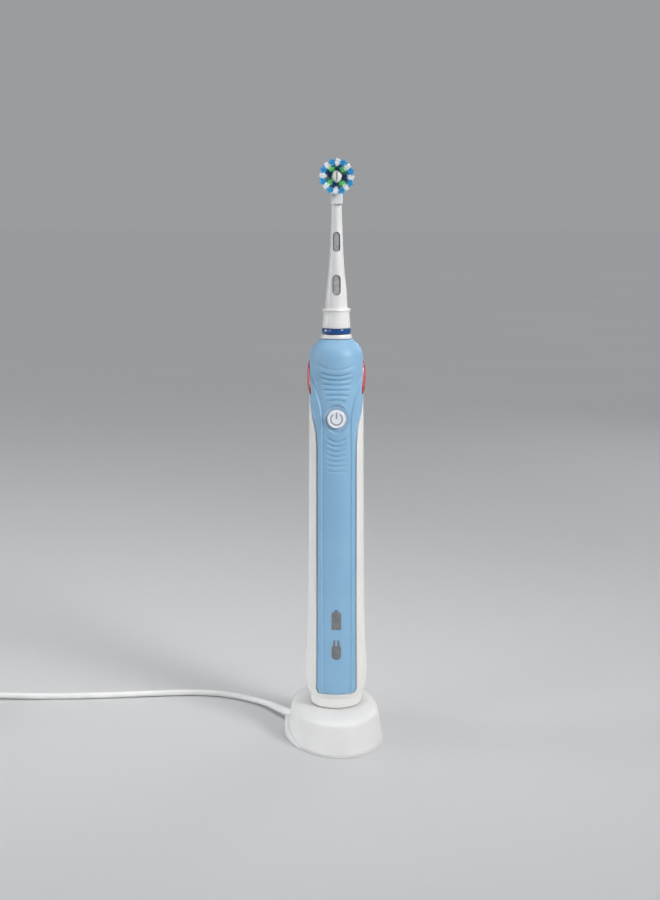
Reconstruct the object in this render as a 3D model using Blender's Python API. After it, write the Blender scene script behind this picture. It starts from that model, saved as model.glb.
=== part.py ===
# Electric toothbrush standing on its charger.
# The handle's long axis is the Z axis, the front of the handle looks along -Y, and the
# charger's flat underside lies on z = 0. Sizes below are millimetres; MM turns them to metres.
import math

import bmesh
import bpy
from mathutils import Vector

MM = 0.001
GAP = 0.3                        # clearance between neighbouring pieces
SLIT = 0.02                      # a grip's side clearance, in radians round the handle

# Handle: height, half width and half depth of its outside, from the foot to the neck.
SECTIONS = (
    (17.2, 11.7, 12.6), (18.4, 12.3, 13.2), (23.6, 13.35, 14.2), (26.5, 14.05, 14.9),
    (30.0, 14.4, 15.3), (36.0, 14.3, 15.2), (44.0, 13.8, 14.8), (63.0, 13.2, 14.3),
    (92.0, 12.75, 13.9), (143.0, 12.4, 13.5), (160.0, 12.25, 13.3), (175.0, 12.15, 13.0),
    (180.0, 11.85, 12.6), (182.6, 11.2, 11.8), (184.6, 10.0, 10.4), (187.0, 7.0, 7.0),
)
ROUNDNESS = 2.2                  # exponent of the handle's superellipse
PANEL_WIDTHS = (                 # height and half width of the front and back grips
    (24.6, 9.2), (140.0, 9.1), (161.0, 11.4), (165.0, 11.55), (170.0, 11.85),
    (175.0, 12.08), (177.0, 12.3),
)
SEAM_ANGLE = math.radians(89.3)  # where the two grips meet above the pressure lights
GRIP_THICKNESS = 1.1
GRIP_BOTTOM = 24.6
LIGHT_BOTTOM, LIGHT_TOP = 161.2, 177.0
SHELL_RECESS = GRIP_THICKNESS + GAP
SHELL_INSIDE = 2.7
BUTTON_HEIGHT, BUTTON_RADIUS = 152.4, 4.15
BEZEL_RADIUS = 5.85
BATTERY_ICON_HEIGHT, CHARGE_ICON_HEIGHT = 60.2, 46.1

# Drive train.
BATTERY_RADIUS, BATTERY_BOTTOM, BATTERY_TOP = 7.2, 47.0, 95.0
MOTOR_RADIUS, MOTOR_BOTTOM, MOTOR_TOP = 7.4, 98.5, 122.0
PINION_TEETH, WHEEL_TEETH = 10, 26
WHEEL_OFFSET = 5.4               # from the shaft's axis to the wheel's, along Y
CRANK_RADIUS = 2.07
SHAFT_RADIUS, SHAFT_BOTTOM, SHAFT_TOP = 1.5, 130.4, 203.5

# Brush head.
HEAD_CENTRE = 258.0
DISC_RADIUS = 6.4
ROD_REACH = 3.0                  # from the rod's axis to its bent tip

# Charger.
BASE_CENTRE = (-1.6, 1.5)
BASE_HALF_WIDTH, BASE_HALF_LENGTH = 23.3, 30.5
BASE_TURN = math.radians(14)
PIN_RADIUS, PIN_TOP = 4.6, 30.5
GUARD_START, GUARD_END = math.radians(-150), math.radians(-42)    # the raised lip by the cord

# Cord: its route where it lies free, then its coil, then its lead to the plug.
CORD_RADIUS = 1.5
RELIEF_START, RELIEF_END = (-23.9, 23.3, 3.3), (-35.4, 37.6, 2.5)
CORD_ROUTE = (
    (-35.6, 37.85, 2.45), (-43.0, 44.0, 1.7), (-51.0, 48.9, 1.55), (-60.0, 50.8, 1.55),
    (-75.0, 51.0, 1.55), (-95.0, 49.2, 1.55), (-120.0, 46.8, 1.55), (-145.0, 45.6, 1.55),
    (-168.0, 45.5, 1.9), (-186.5, 45.6, 2.4),
)
COIL_CENTRE = (-200.0, 22.0)
COIL_INNER, COIL_OUTER, COIL_BOTTOM, COIL_TOP = 12.7, 25.3, 0.9, 7.4
LEAD_ROUTE = (
    (-223.6, 7.6, 5.6), (-223.9, 4.0, 5.9), (-224.2, 0.5, 6.5), (-224.3, -3.2, 6.9),
)
PLUG_START = (-224.3, -3.5, 6.9)


# ---------------------------------------------------------------- materials
def paint(name, colour, roughness, metallic=0.0):
    material = bpy.data.materials.new(name)
    material.use_nodes = True
    shader = material.node_tree.nodes["Principled BSDF"]
    shader.inputs["Base Color"].default_value = (*colour, 1.0)
    shader.inputs["Roughness"].default_value = roughness
    shader.inputs["Metallic"].default_value = metallic
    return material


for old in list(bpy.data.objects):
    bpy.data.objects.remove(old, do_unlink=True)

WHITE = paint("white_plastic", (0.86, 0.86, 0.84), 0.35)
BLUE = paint("blue_rubber", (0.25, 0.47, 0.71), 0.5)
NAVY = paint("navy_ring", (0.01, 0.06, 0.25), 0.3)
RED = paint("red_lens", (0.6, 0.02, 0.03), 0.15)
GREY = paint("grey_lens", (0.2, 0.21, 0.22), 0.3)
BLACK = paint("black_plastic", (0.02, 0.02, 0.02), 0.5)
GREEN = paint("green_board", (0.01, 0.15, 0.06), 0.4)
STEEL = paint("steel", (0.6, 0.6, 0.62), 0.3, 1.0)
BRASS = paint("brass", (0.7, 0.5, 0.2), 0.35, 1.0)
COPPER = paint("copper", (0.7, 0.3, 0.15), 0.4, 1.0)
FERRITE = paint("ferrite", (0.04, 0.04, 0.045), 0.7)
NYLON_BLUE = paint("nylon_blue", (0.03, 0.28, 0.58), 0.4)
NYLON_GREEN = paint("nylon_green", (0.12, 0.6, 0.2), 0.4)


# ---------------------------------------------------------------- making solids
def build(name, bm, material, location=(0, 0, 0), forward=False, turn=0.0):
    """Turn a bmesh into a named object; forward tips its own +Z over to -Y."""
    bmesh.ops.recalc_face_normals(bm, faces=bm.faces)
    if bm.calc_volume(signed=True) < 0:
        bmesh.ops.reverse_faces(bm, faces=bm.faces)
    mesh = bpy.data.meshes.new(name)
    bm.to_mesh(mesh)
    bm.free()
    if material:
        mesh.materials.append(material)
    mesh.shade_smooth()
    mesh.set_sharp_from_angle(angle=math.radians(35))
    obj = bpy.data.objects.new(name, mesh)
    bpy.context.scene.collection.objects.link(obj)
    obj.location = Vector(location) * MM
    obj.rotation_euler = (math.pi / 2 if forward else 0.0, 0.0, turn)
    return obj


def skin(rings, closed=False):
    """Join rings of equal count into one solid; closed joins the last ring to the first."""
    bm = bmesh.new()
    loops = [[bm.verts.new(Vector(point) * MM) for point in ring] for ring in rings]
    pairs = list(zip(loops, loops[1:]))
    if closed:
        pairs.append((loops[-1], loops[0]))
    for low, high in pairs:
        for i in range(len(low)):
            j = (i + 1) % len(low)
            bm.faces.new((low[i], low[j], high[j], high[i]))
    if not closed:
        bm.faces.new(loops[0][::-1])
        bm.faces.new(loops[-1])
    return bm


def circle(radius, z, count=24, centre=(0, 0)):
    """A ring that starts at the front (-Y) and runs towards +X."""
    angles = [math.tau * i / count for i in range(count)]
    return [(centre[0] + radius * math.sin(a), centre[1] - radius * math.cos(a), z) for a in angles]


def turned(name, profile, material, count=24, closed=False, **place):
    """A turned solid from (radius, height) pairs; closed leaves a hole down its middle."""
    rings = [circle(radius, z, count) for radius, z in profile]
    return build(name, skin(rings, closed), material, **place)


def tube_ring(inner, outer, low, high):
    """The closed profile of a plain ring."""
    return (inner, low), (outer, low), (outer, high), (inner, high)


def slab(name, outline, low, high, material, **place):
    """An outline of (x, y) points, extruded along its own Z."""
    rings = [[(x, y, z) for x, y in outline] for z in (low, high)]
    return build(name, skin(rings), material, **place)


def rectangle(width, height, centre=(0, 0)):
    x, y = centre
    w, h = width / 2, height / 2
    return [(x - w, y - h), (x + w, y - h), (x + w, y + h), (x - w, y + h)]


def stadium(width, height, steps=8):
    """A tall slot with round ends."""
    radius = width / 2
    straight = height / 2 - radius
    ends = []
    for side, start in ((1, 0.0), (-1, math.pi)):
        for i in range(steps + 1):
            angle = start + math.pi * i / steps
            ends.append((radius * math.cos(angle), side * straight + radius * math.sin(angle)))
    return ends


def superellipse(half_x, half_y, power, z, count=24):
    """A squarish ring that starts at the front and runs towards +X."""
    ring = []
    for i in range(count):
        s, c = math.sin(math.tau * i / count), math.cos(math.tau * i / count)
        x = half_x * math.copysign(abs(s) ** (2 / power), s)
        y = -half_y * math.copysign(abs(c) ** (2 / power), c)
        ring.append((x, y, z))
    return ring


def combine(target, tool, operation):
    """Add or cut with a hidden tool object."""
    tool.hide_render = True
    tool.display_type = "WIRE"
    modifier = target.modifiers.new(tool.name, "BOOLEAN")
    modifier.operation = operation
    modifier.solver = "EXACT"
    modifier.object = tool
    tool.parent = target
    tool.matrix_parent_inverse = target.matrix_basis.inverted()


def table_value(table, z):
    """Read a table of (z, value) rows along straight lines between its rows."""
    for (z0, low), (z1, high) in zip(table, table[1:]):
        if z <= z1:
            return low + (high - low) * max(0.0, (z - z0) / (z1 - z0))
    return table[-1][1]


# ---------------------------------------------------------------- the handle's surface
HALF_WIDTHS = [(z, width) for z, width, depth in SECTIONS]
HALF_DEPTHS = [(z, depth) for z, width, depth in SECTIONS]


def surface(z, angle, inset=0.0):
    """A point on the handle's outside; the angle runs from the front towards +X."""
    half_x = table_value(HALF_WIDTHS, z) - inset
    half_y = table_value(HALF_DEPTHS, z) - inset
    s, c = math.sin(angle), math.cos(angle)
    x = half_x * math.copysign(abs(s) ** (2 / ROUNDNESS), s)
    y = -half_y * math.copysign(abs(c) ** (2 / ROUNDNESS), c)
    return x, y, z


def panel_angle(z):
    """The angle of a grip's edge at this height."""
    share = min(0.9999, table_value(PANEL_WIDTHS, z) / table_value(HALF_WIDTHS, z))
    return min(SEAM_ANGLE, math.asin(share ** (ROUNDNESS / 2)))


def spread(first, last, count):
    return [first + (last - first) * i / (count - 1) for i in range(count)]


def shell_ring(z, grip_inset, side_inset):
    """One ring of the shell: recessed under the two grips, proud along the two sides."""
    edge = panel_angle(z) + SLIT
    lip = edge + SLIT / 2
    ring = []
    for facing in (0.0, math.pi):
        ring += [surface(z, facing + a, grip_inset) for a in spread(-edge, edge, 8)]
        ring += [surface(z, facing + a, side_inset) for a in spread(lip, math.pi - lip, 5)]
    return ring


def patch(name, levels, edges, facing, insets, material, columns):
    """A curved plate on the handle between two angles; insets(z, share) gives both faces."""
    bm = bmesh.new()
    faces = []
    for side in (0, 1):
        rows = []
        for z in levels:
            first, last = edges(z)
            row = []
            for i, angle in enumerate(spread(first, last, columns)):
                inset = insets(z, i / (columns - 1))[side]
                row.append(bm.verts.new(Vector(surface(z, facing + angle, inset)) * MM))
            rows.append(row)
        faces.append(rows)
    outer, inner = faces
    for rows in faces:
        for low, high in zip(rows, rows[1:]):
            for i in range(columns - 1):
                bm.faces.new((low[i], low[i + 1], high[i + 1], high[i]))
    for k in range(len(levels) - 1):
        for i in (0, columns - 1):
            bm.faces.new((outer[k][i], outer[k + 1][i], inner[k + 1][i], inner[k][i]))
    for k in (0, len(levels) - 1):
        for i in range(columns - 1):
            bm.faces.new((outer[k][i], outer[k][i + 1], inner[k][i + 1], inner[k][i]))
    return build(name, bm, material)


# ---------------------------------------------------------------- handle housing
def make_shell():
    rings = [shell_ring(z, 0.0, 0.0) for z in (17.2, 18.4, 21.0, 24.0)]
    sides = (24.3, 30.0, 36.0, 44.0, 63.0, 92.0, 143.0, 152.0, 160.7)
    rings += [shell_ring(z, SHELL_RECESS, 0.0) for z in sides]
    top = (160.9, 170.0, 177.0, 180.0, 182.6, 184.6, 185.8)
    rings += [shell_ring(z, SHELL_RECESS, SHELL_RECESS) for z in top]
    count = len(rings[0])
    neck = ((5.5, 187.0), (3.6, 187.0), (3.6, 178.0), (5.2, 178.0), (5.2, 184.0))
    rings += [circle(radius, z, count) for radius, z in neck]
    inside = (183.6, 180.0, 160.0, 92.0, 63.0, 44.0, 30.0, 17.2)
    rings += [shell_ring(z, SHELL_INSIDE, SHELL_INSIDE) for z in inside]
    shell = build("handle_shell", skin(rings, closed=True), WHITE)
    holes = (
        (stadium(5.8, 5.8), BUTTON_HEIGHT), (rectangle(3.0, 7.6), BATTERY_ICON_HEIGHT),
        (rectangle(3.0, 7.0), CHARGE_ICON_HEIGHT),
    )
    for outline, height in holes:
        tool = slab("shell_hole", outline, 6.0, 16.0, None, location=(0, 0, height), forward=True)
        combine(shell, tool, "DIFFERENCE")


def make_grips():
    levels = (GRIP_BOTTOM, 27.0, 30.0, 36.0, 44.0, 63.0, 92.0, 143.0, 152.0, 161.0, 165.0,
              170.0, 174.0, 177.0, 180.0, 182.6, 184.6, 187.0)

    def edges(z):
        return -panel_angle(z), panel_angle(z)

    def insets(z, share):
        return 0.0, GRIP_THICKNESS

    front = patch("front_grip", levels, edges, 0.0, insets, BLUE, 9)
    patch("back_grip", levels, edges, math.pi, insets, BLUE, 9)
    holes = (
        (stadium(2 * BEZEL_RADIUS, 2 * BEZEL_RADIUS, 10), BUTTON_HEIGHT),
        (rectangle(4.9, 9.9), BATTERY_ICON_HEIGHT), (rectangle(4.9, 9.9), CHARGE_ICON_HEIGHT),
    )
    for outline, height in holes:
        tool = slab("grip_hole", outline, 8.0, 18.0, None, location=(0, 0, height), forward=True)
        combine(front, tool, "DIFFERENCE")


def make_pressure_lights():
    levels = (LIGHT_BOTTOM, 163.5, 167.0, 171.0, 174.0, 176.3)

    def edges(z):
        edge = panel_angle(z) + SLIT
        return edge, math.pi - edge

    def insets(z, share):
        along = (z - LIGHT_BOTTOM) / (LIGHT_TOP - LIGHT_BOTTOM)
        proud = 0.8 * math.sin(math.pi * along) * math.sin(math.pi * share)
        return -proud, GRIP_THICKNESS

    patch("pressure_light_right", levels, edges, 0.0, insets, RED, 7)
    patch("pressure_light_left", levels, edges, math.pi, insets, RED, 7)


def make_neck():
    turned("neck_collar", ((3.9, 187.3), (6.9, 187.3), (6.6, 189.1), (3.9, 189.1)), WHITE, closed=True)
    turned("shaft_seal", tube_ring(1.8, 3.3, 184.3, 188.9), BLACK, 24, True)
    turned("shaft_bush_upper", tube_ring(1.8, 3.3, 178.2, 184.0), BRASS, 24, True)
    turned("shaft_bush_lower", tube_ring(1.8, 3.3, 138.6, 142.4), BRASS, 24, True)


def make_bottom():
    """The cap that closes the handle, with the socket that stands over the charger's pin."""
    count = 24
    rings = [circle(r, z, count) for r, z in ((6.6, 33.6), (6.6, 19.4))]
    rings += [superellipse(8.6, 9.4, ROUNDNESS, z, count) for z in (19.4, 17.4)]
    rings += [circle(r, z, count) for r, z in ((5.3, 17.4), (5.3, 32.2))]
    build("bottom_cap", skin(rings), WHITE)
    seal = [superellipse(a, b, ROUNDNESS, z, count) for a, b, z in
            ((7.8, 8.6, 19.7), (8.7, 9.5, 19.7), (8.7, 9.5, 21.2), (7.8, 8.6, 21.2))]
    build("cap_seal", skin(seal, closed=True), BLACK)
    turned("charge_coil", tube_ring(6.9, 9.1, 21.5, 31.5), COPPER, 24, True)


def make_button():
    place = {"location": (0, 0, BUTTON_HEIGHT), "forward": True}
    disc = ((2.2, 10.9), (2.2, 12.9), (4.0, 12.9), (BUTTON_RADIUS, 13.1), (BUTTON_RADIUS, 13.7),
            (3.9, 13.95), (2.6, 13.8))
    turned("power_button", disc, WHITE, 24, **place)
    turned("button_seal", ((4.45, 12.5), (5.55, 12.5), (5.55, 13.0), (4.45, 12.8)), GREY, 24,
           closed=True, **place)


def make_lenses():
    """Two see-through signs in the front grip: a battery, and a plug."""
    battery = [(-2.1, -4.6), (2.1, -4.6), (2.1, 3.4), (1.1, 3.4), (1.1, 4.6), (-1.1, 4.6),
               (-1.1, 3.4), (-2.1, 3.4)]
    cup = [(2.1 * math.cos(a), -2.4 + 2.1 * math.sin(a)) for a in spread(math.pi, math.tau, 9)]
    plug = cup + [(2.1, 1.0), (1.5, 1.6), (1.5, 4.6), (0.7, 4.6), (0.7, 1.6), (-0.7, 1.6),
                  (-0.7, 4.6), (-1.5, 4.6), (-1.5, 1.6), (-2.1, 1.0)]
    for name, outline, height in (("battery_lens", battery, BATTERY_ICON_HEIGHT),
                                  ("charge_lens", plug, CHARGE_ICON_HEIGHT)):
        front = table_value(HALF_DEPTHS, height) - 0.1
        slab(name, outline, front - 0.9, front, GREY, location=(0, 0, height), forward=True)


# ---------------------------------------------------------------- inside the handle
def round_with_flat(radius, flat, steps=20):
    """A circle whose front is cut off at y = flat."""
    start = math.asin(flat / radius)
    return [(radius * math.cos(a), radius * math.sin(a))
            for a in spread(start, math.pi - start, steps)]


def make_frame_parts():
    opening = math.radians(-18)
    angles = spread(opening, math.pi - opening, 17)
    trough = [(9.0 * math.cos(a), 9.0 * math.sin(a)) for a in angles]
    trough += [(7.9 * math.cos(a), 7.9 * math.sin(a)) for a in reversed(angles)]
    slab("chassis", trough, 43.0, 122.0, WHITE)

    frame = slab("drive_frame", round_with_flat(8.6, -7.2), 124.8, 126.3, WHITE)
    for side in (-1, 1):
        post = slab("frame_post", rectangle(1.4, 6.0, (7.4 * side, 0)), 125.5, 139.8, None)
        combine(frame, post, "UNION")
    top = slab("frame_top", round_with_flat(8.5, -7.2), 139.0, 140.6, None)
    combine(frame, top, "UNION")
    for name, radius, low, high in (("pinion_hole", 2.4, 124.0, 127.0), ("bush_hole", 3.6, 138.0, 142.0)):
        tool = turned(name, ((radius, low), (radius, high)), None)
        combine(frame, tool, "DIFFERENCE")


def make_electronics():
    board_back, board_front = 7.8, 8.6
    slab("circuit_board", rectangle(11.0, 117.0, (0, 99.5)), board_back, board_front, GREEN, forward=True)
    on_board = board_front + GAP
    parts = (
        ("tact_switch", 4.4, 4.4, BUTTON_HEIGHT, 1.4, STEEL),
        ("control_chip", 5.0, 5.0, 112.0, 0.9, BLACK),
        ("battery_led", 1.6, 3.0, BATTERY_ICON_HEIGHT, 0.8, WHITE),
        ("charge_led", 1.6, 3.0, CHARGE_ICON_HEIGHT, 0.8, WHITE),
        ("pressure_led", 3.0, 1.6, 144.0, 0.8, RED),
    )
    for name, width, height, z, thickness, material in parts:
        slab(name, rectangle(width, height), on_board, on_board + thickness, material,
             location=(0, 0, z), forward=True)


def make_power():
    crimp = BATTERY_TOP - 2.5
    r = BATTERY_RADIUS
    cell = ((r - 0.6, BATTERY_BOTTOM), (r, BATTERY_BOTTOM + 0.5), (r, crimp - 1.0), (r - 0.5, crimp),
            (r, crimp + 1.0), (r - 0.6, BATTERY_TOP - 1.0), (2.6, BATTERY_TOP - 1.0), (2.6, BATTERY_TOP))
    turned("battery_cell", cell, BLUE, 24)
    turned("battery_contact_lower", ((5.0, 45.2), (5.0, 46.0), (2.0, 46.7)), STEEL, 16)
    turned("battery_contact_upper", ((2.2, 95.3), (4.6, 95.9), (4.6, 96.6)), STEEL, 16)
    r = MOTOR_RADIUS
    motor = ((2.2, MOTOR_BOTTOM - 1.0), (2.2, MOTOR_BOTTOM), (r - 0.5, MOTOR_BOTTOM),
             (r, MOTOR_BOTTOM + 0.6), (r, MOTOR_TOP - 0.6), (r - 0.5, MOTOR_TOP), (2.6, MOTOR_TOP),
             (2.6, MOTOR_TOP + 1.8))
    turned("motor_can", motor, STEEL)


def gear_ring(tip, root, teeth, z):
    """A ring whose points lie on the teeth's tips and roots in turn."""
    ring = []
    for i in range(teeth * 2):
        radius = root if i % 2 else tip
        angle = math.tau * i / (teeth * 2)
        ring.append((radius * math.sin(angle), -radius * math.cos(angle), z))
    return ring


def make_gears():
    count = PINION_TEETH * 2
    rings = [circle(0.9, 124.2, count), circle(0.9, 127.0, count)]
    rings += [gear_ring(1.5, 1.25, PINION_TEETH, z) for z in (127.0, 129.4)]
    build("motor_pinion", skin(rings), BRASS)

    axis = (0, WHEEL_OFFSET, 0)
    count = WHEEL_TEETH * 2
    rings = [circle(0.9, 127.2, count), gear_ring(3.75, 3.4, WHEEL_TEETH, 127.2),
             gear_ring(3.75, 3.4, WHEEL_TEETH, 128.6), circle(0.9, 128.6, count)]
    build("drive_wheel", skin(rings, closed=True), WHITE, location=axis)
    pin = [circle(0.5, z, 16, (0, CRANK_RADIUS)) for z in (128.9, 130.3)]
    build("crank_pin", skin(pin), STEEL, location=axis)
    turned("wheel_axle", ((0.6, 126.6), (0.6, 129.9)), STEEL, 16, location=axis)


def make_shaft():
    shaft = ((1.2, SHAFT_BOTTOM), (SHAFT_RADIUS, SHAFT_BOTTOM + 0.4), (SHAFT_RADIUS, SHAFT_TOP - 0.5),
             (1.0, SHAFT_TOP))
    turned("drive_shaft", shaft, STEEL, 24)
    low, high = 130.7, 132.4
    arm = slab("rocker_arm", [(-2.4, 0), (2.4, 0), (1.7, 8.3), (-1.7, 8.3)], low, high, WHITE)
    hub = turned("rocker_hub", ((3.0, low - 0.05), (3.0, high + 1.6)), None)
    combine(arm, hub, "UNION")
    slot = slab("rocker_slot", rectangle(1.5, 6.6, (0, 6.7)), low - 1.0, high + 1.0, None)
    combine(arm, slot, "DIFFERENCE")
    bore = turned("rocker_bore", ((1.8, low - 1.0), (1.8, high + 3.0)), None)
    combine(arm, bore, "DIFFERENCE")


# ---------------------------------------------------------------- brush head
def make_head():
    stem_rings = (
        (191.9, 6.1, 6.1), (192.4, 6.25, 6.25), (199.0, 5.8, 5.8), (199.5, 6.3, 6.3),
        (200.2, 6.3, 6.3), (200.5, 5.9, 5.9), (200.8, 4.9, 5.0), (207.0, 4.7, 4.9),
        (215.0, 3.9, 4.3), (225.0, 3.3, 3.8), (236.0, 2.95, 3.45), (246.0, 2.8, 3.25),
        (253.5, 2.8, 3.2),
    )
    stem = build("head_stem", skin([superellipse(a, b, 2.0, z, 20) for z, a, b in stem_rings]), WHITE)
    centre = {"location": (0, 0, HEAD_CENTRE), "forward": True}
    cup = turned("cup_solid", ((4.4, -4.0), (5.7, -3.6), (6.4, -2.6), (6.4, 3.6)), None, **centre)
    combine(stem, cup, "UNION")
    block = slab("neck_block", rectangle(5.1, 3.6, (0, -2.5)), 246.4, 250.8, None)
    combine(stem, block, "UNION")
    bore = ((4.95, 191.0), (4.95, 199.2), (3.75, 199.6), (3.75, 207.6), (1.7, 209.5), (1.7, 256.0))
    combine(stem, turned("stem_bore", bore, None, 24), "DIFFERENCE")
    cavity = turned("cup_cavity", ((5.5, -2.6), (5.5, 3.9)), None, **centre)
    combine(stem, cavity, "DIFFERENCE")
    for width, height, z in ((3.3, 8.7, 229.9), (3.7, 9.2, 213.5)):
        tool = slab("stem_window", stadium(width, height, 5), 0.5, 7.0, None, location=(0, 0, z), forward=True)
        combine(stem, tool, "DIFFERENCE")

    ring = ((4.6, 189.4), (6.35, 189.4), (6.55, 189.8), (6.55, 191.3), (6.35, 191.6), (4.6, 191.6))
    turned("colour_ring", ring, NAVY, closed=True)
    turned("head_insert", tube_ring(3.75, 4.65, 192.1, 198.8), WHITE, 24, True)
    turned("disc_pin", ((0.8, -2.3), (0.8, 4.6)), STEEL, 16, **centre)


def make_rod():
    turned("rod_coupling", ((3.3, 207.0), (3.3, 192.4), (1.8, 192.4), (1.8, 203.9)), WHITE, 24)
    path = ((0.0, 207.3, 0.9), (0.0, 251.6, 0.9), (-0.3, 252.6, 0.75), (-1.3, 253.4, 0.6),
            (-2.4, 253.6, 0.5), (-ROD_REACH, 254.1, 0.5), (-ROD_REACH, 255.5, 0.5))
    rings = []
    for k, (y, z, radius) in enumerate(path):
        before, after = path[max(0, k - 1)], path[min(len(path) - 1, k + 1)]
        lean = math.atan2(before[0] - after[0], after[1] - before[1])
        rings.append([(radius * math.sin(a), y - radius * math.cos(a) * math.cos(lean),
                       z - radius * math.cos(a) * math.sin(lean))
                      for a in spread(0, math.tau * 11 / 12, 12)])
    build("drive_rod", skin(rings), STEEL)


def tuft_ring(name, inner, outer, tufts, material, centre):
    """A thin ring whose every second sector is drawn out into a tuft that leans and flares."""
    bm = bmesh.new()
    root, floor, length = 6.5, 6.1, 8.3
    sectors = tufts * 2

    def point(radius, i, height):
        angle = math.tau * i / sectors
        return bm.verts.new(Vector((radius * math.cos(angle), radius * math.sin(angle), height)) * MM)

    corners = [[point(r, i, z) for r, z in ((inner, floor), (outer, floor), (outer, root), (inner, root))]
               for i in range(sectors)]
    tops = []
    for i, here in enumerate(corners):
        there = corners[(i + 1) % sectors]
        for k in range(4):
            face = bm.faces.new((here[k], there[k], there[(k + 1) % 4], here[(k + 1) % 4]))
            if k == 2 and i % 2 == 0:
                tops.append(face)
    drawn = bmesh.ops.extrude_discrete_faces(bm, faces=tops)["faces"]
    for face in drawn:
        middle = face.calc_center_median()
        outward = Vector((middle.x, middle.y, 0)).normalized()
        sideways = Vector((-outward.y, outward.x, 0))
        for vert in face.verts:
            vert.co += Vector((0, 0, length * MM)) + outward * 1.2 * MM + sideways * 0.5 * MM
    return build(name, bm, material, **centre)


def make_brush():
    centre = {"location": (0, 0, HEAD_CENTRE), "forward": True}
    profile = ((5.6, 5.8), (DISC_RADIUS, 5.3), (DISC_RADIUS, 4.3), (6.0, 3.9), (1.9, 3.9), (1.9, -1.5),
               (1.1, -1.5), (1.1, 4.9))
    disc = turned("brush_disc", profile, WHITE, **centre)
    for side in (-1, 1):
        prong = slab("prong", rectangle(0.85, 2.6, (1.275 * side, -2.1)), 2.4, 4.2, None, **centre)
        combine(disc, prong, "UNION")
    bore = turned("disc_bore", ((1.1, -3.0), (1.1, 4.9)), None, **centre)
    combine(disc, bore, "DIFFERENCE")
    tuft_ring("outer_tufts", 4.7, 6.3, 16, NYLON_BLUE, centre)
    tuft_ring("inner_tufts", 2.7, 4.1, 8, NYLON_GREEN, centre)
    turned("disc_hub", ((2.1, 6.1), (2.3, 6.5), (2.3, 9.6), (1.5, 10.4)), WHITE, 24, **centre)


# ---------------------------------------------------------------- charger
def base_point(angle, offset, z):
    """A point on the charger's oval, drawn in by offset; the angle starts at its front end."""
    across = (BASE_HALF_WIDTH - offset) * math.sin(angle)
    along = -(BASE_HALF_LENGTH - offset) * math.cos(angle)
    c, s = math.cos(BASE_TURN), math.sin(BASE_TURN)
    return BASE_CENTRE[0] + across * c - along * s, BASE_CENTRE[1] + across * s + along * c, z


def base_place(across, along):
    """A place inside the charger, measured along its own width and length."""
    c, s = math.cos(BASE_TURN), math.sin(BASE_TURN)
    return BASE_CENTRE[0] + across * c - along * s, BASE_CENTRE[1] + across * s + along * c, 0.0


def make_charger():
    count = 32

    def oval(offset, z):
        return [base_point(math.tau * i / count, offset, z) for i in range(count)]

    def pin_ring(radius, z):
        angles = [math.tau * i / count + BASE_TURN for i in range(count)]
        return [(radius * math.sin(a), -radius * math.cos(a), z) for a in angles]

    pin = ((2.9, PIN_TOP), (4.1, PIN_TOP - 0.4), (PIN_RADIUS, PIN_TOP - 1.2), (PIN_RADIUS, 17.4), (5.4, 16.9))
    outside = ((9.5, 16.8), (6.5, 16.3), (4.0, 15.6), (2.6, 14.6), (1.8, 13.2), (0.95, 10.0), (0.3, 6.0),
               (0.05, 3.4), (0.4, 2.4))
    inside = ((2.0, 2.4), (2.4, 6.0), (3.8, 12.0), (6.0, 13.8), (9.5, 15.0))
    rings = [pin_ring(*row) for row in pin] + [oval(*row) for row in outside + inside]
    rings += [pin_ring(3.4, 15.4), pin_ring(3.4, 28.9)]
    build("charger_shell", skin(rings), WHITE)

    plate = build("charger_base_plate", skin([oval(1.1, 0.0), oval(0.6, 0.5), oval(0.6, 2.1)]), WHITE)
    guard = []
    for share in spread(0.0, 1.0, 11):
        angle = GUARD_START + share * (GUARD_END - GUARD_START)
        rise = 1.0 - max(0.0, (share - 0.4) / 0.6) ** 2
        out, high = -0.7 - 1.1 * rise, 2.2 + 4.2 * rise
        section = ((out + 0.3, 0.0), (out, 0.6), (out, high - 0.4), (out + 0.3, high), (-0.3, high),
                   (-0.3, 2.0), (1.6, 1.8), (1.6, 0.3))
        guard.append([base_point(angle, offset, z) for offset, z in section])
    combine(plate, build("cord_guard", skin(guard), None), "UNION")

    turned("coil_bobbin", ((3.2, 3.0), (9.2, 3.0), (9.2, 4.0), (3.9, 4.0), (3.9, 12.0), (9.2, 12.0),
                           (9.2, 13.0), (3.2, 13.0)), WHITE, 24, True)
    turned("primary_coil", tube_ring(4.2, 8.8, 4.3, 11.7), COPPER, 24, True)
    turned("ferrite_core", ((2.9, 3.4), (2.9, 28.4)), FERRITE, 24)
    slab("charger_circuit_board", rectangle(20, 9), 4.2, 5.4, GREEN, location=base_place(0, 17.5),
         turn=BASE_TURN)
    turned("charger_capacitor", ((2.8, 5.7), (3.0, 6.0), (3.0, 12.2), (2.6, 12.5)), BLACK, 20,
           location=base_place(-5, 17.5))


# ---------------------------------------------------------------- cord and plug
def smooth_path(route, spacing):
    """Points along a smooth curve through the route's own points."""
    points = [Vector(p) for p in route]
    points = [2 * points[0] - points[1], *points, 2 * points[-1] - points[-2]]
    path = []
    for before, here, there, after in zip(points, points[1:], points[2:], points[3:]):
        steps = max(1, round((there - here).length / spacing))
        for i in range(steps):
            t = i / steps
            path.append(0.5 * (2 * here + (there - before) * t
                               + (2 * before - 5 * here + 4 * there - after) * t ** 2
                               + (3 * here - before - 3 * there + after) * t ** 3))
    return path + [points[-2]]


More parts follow.
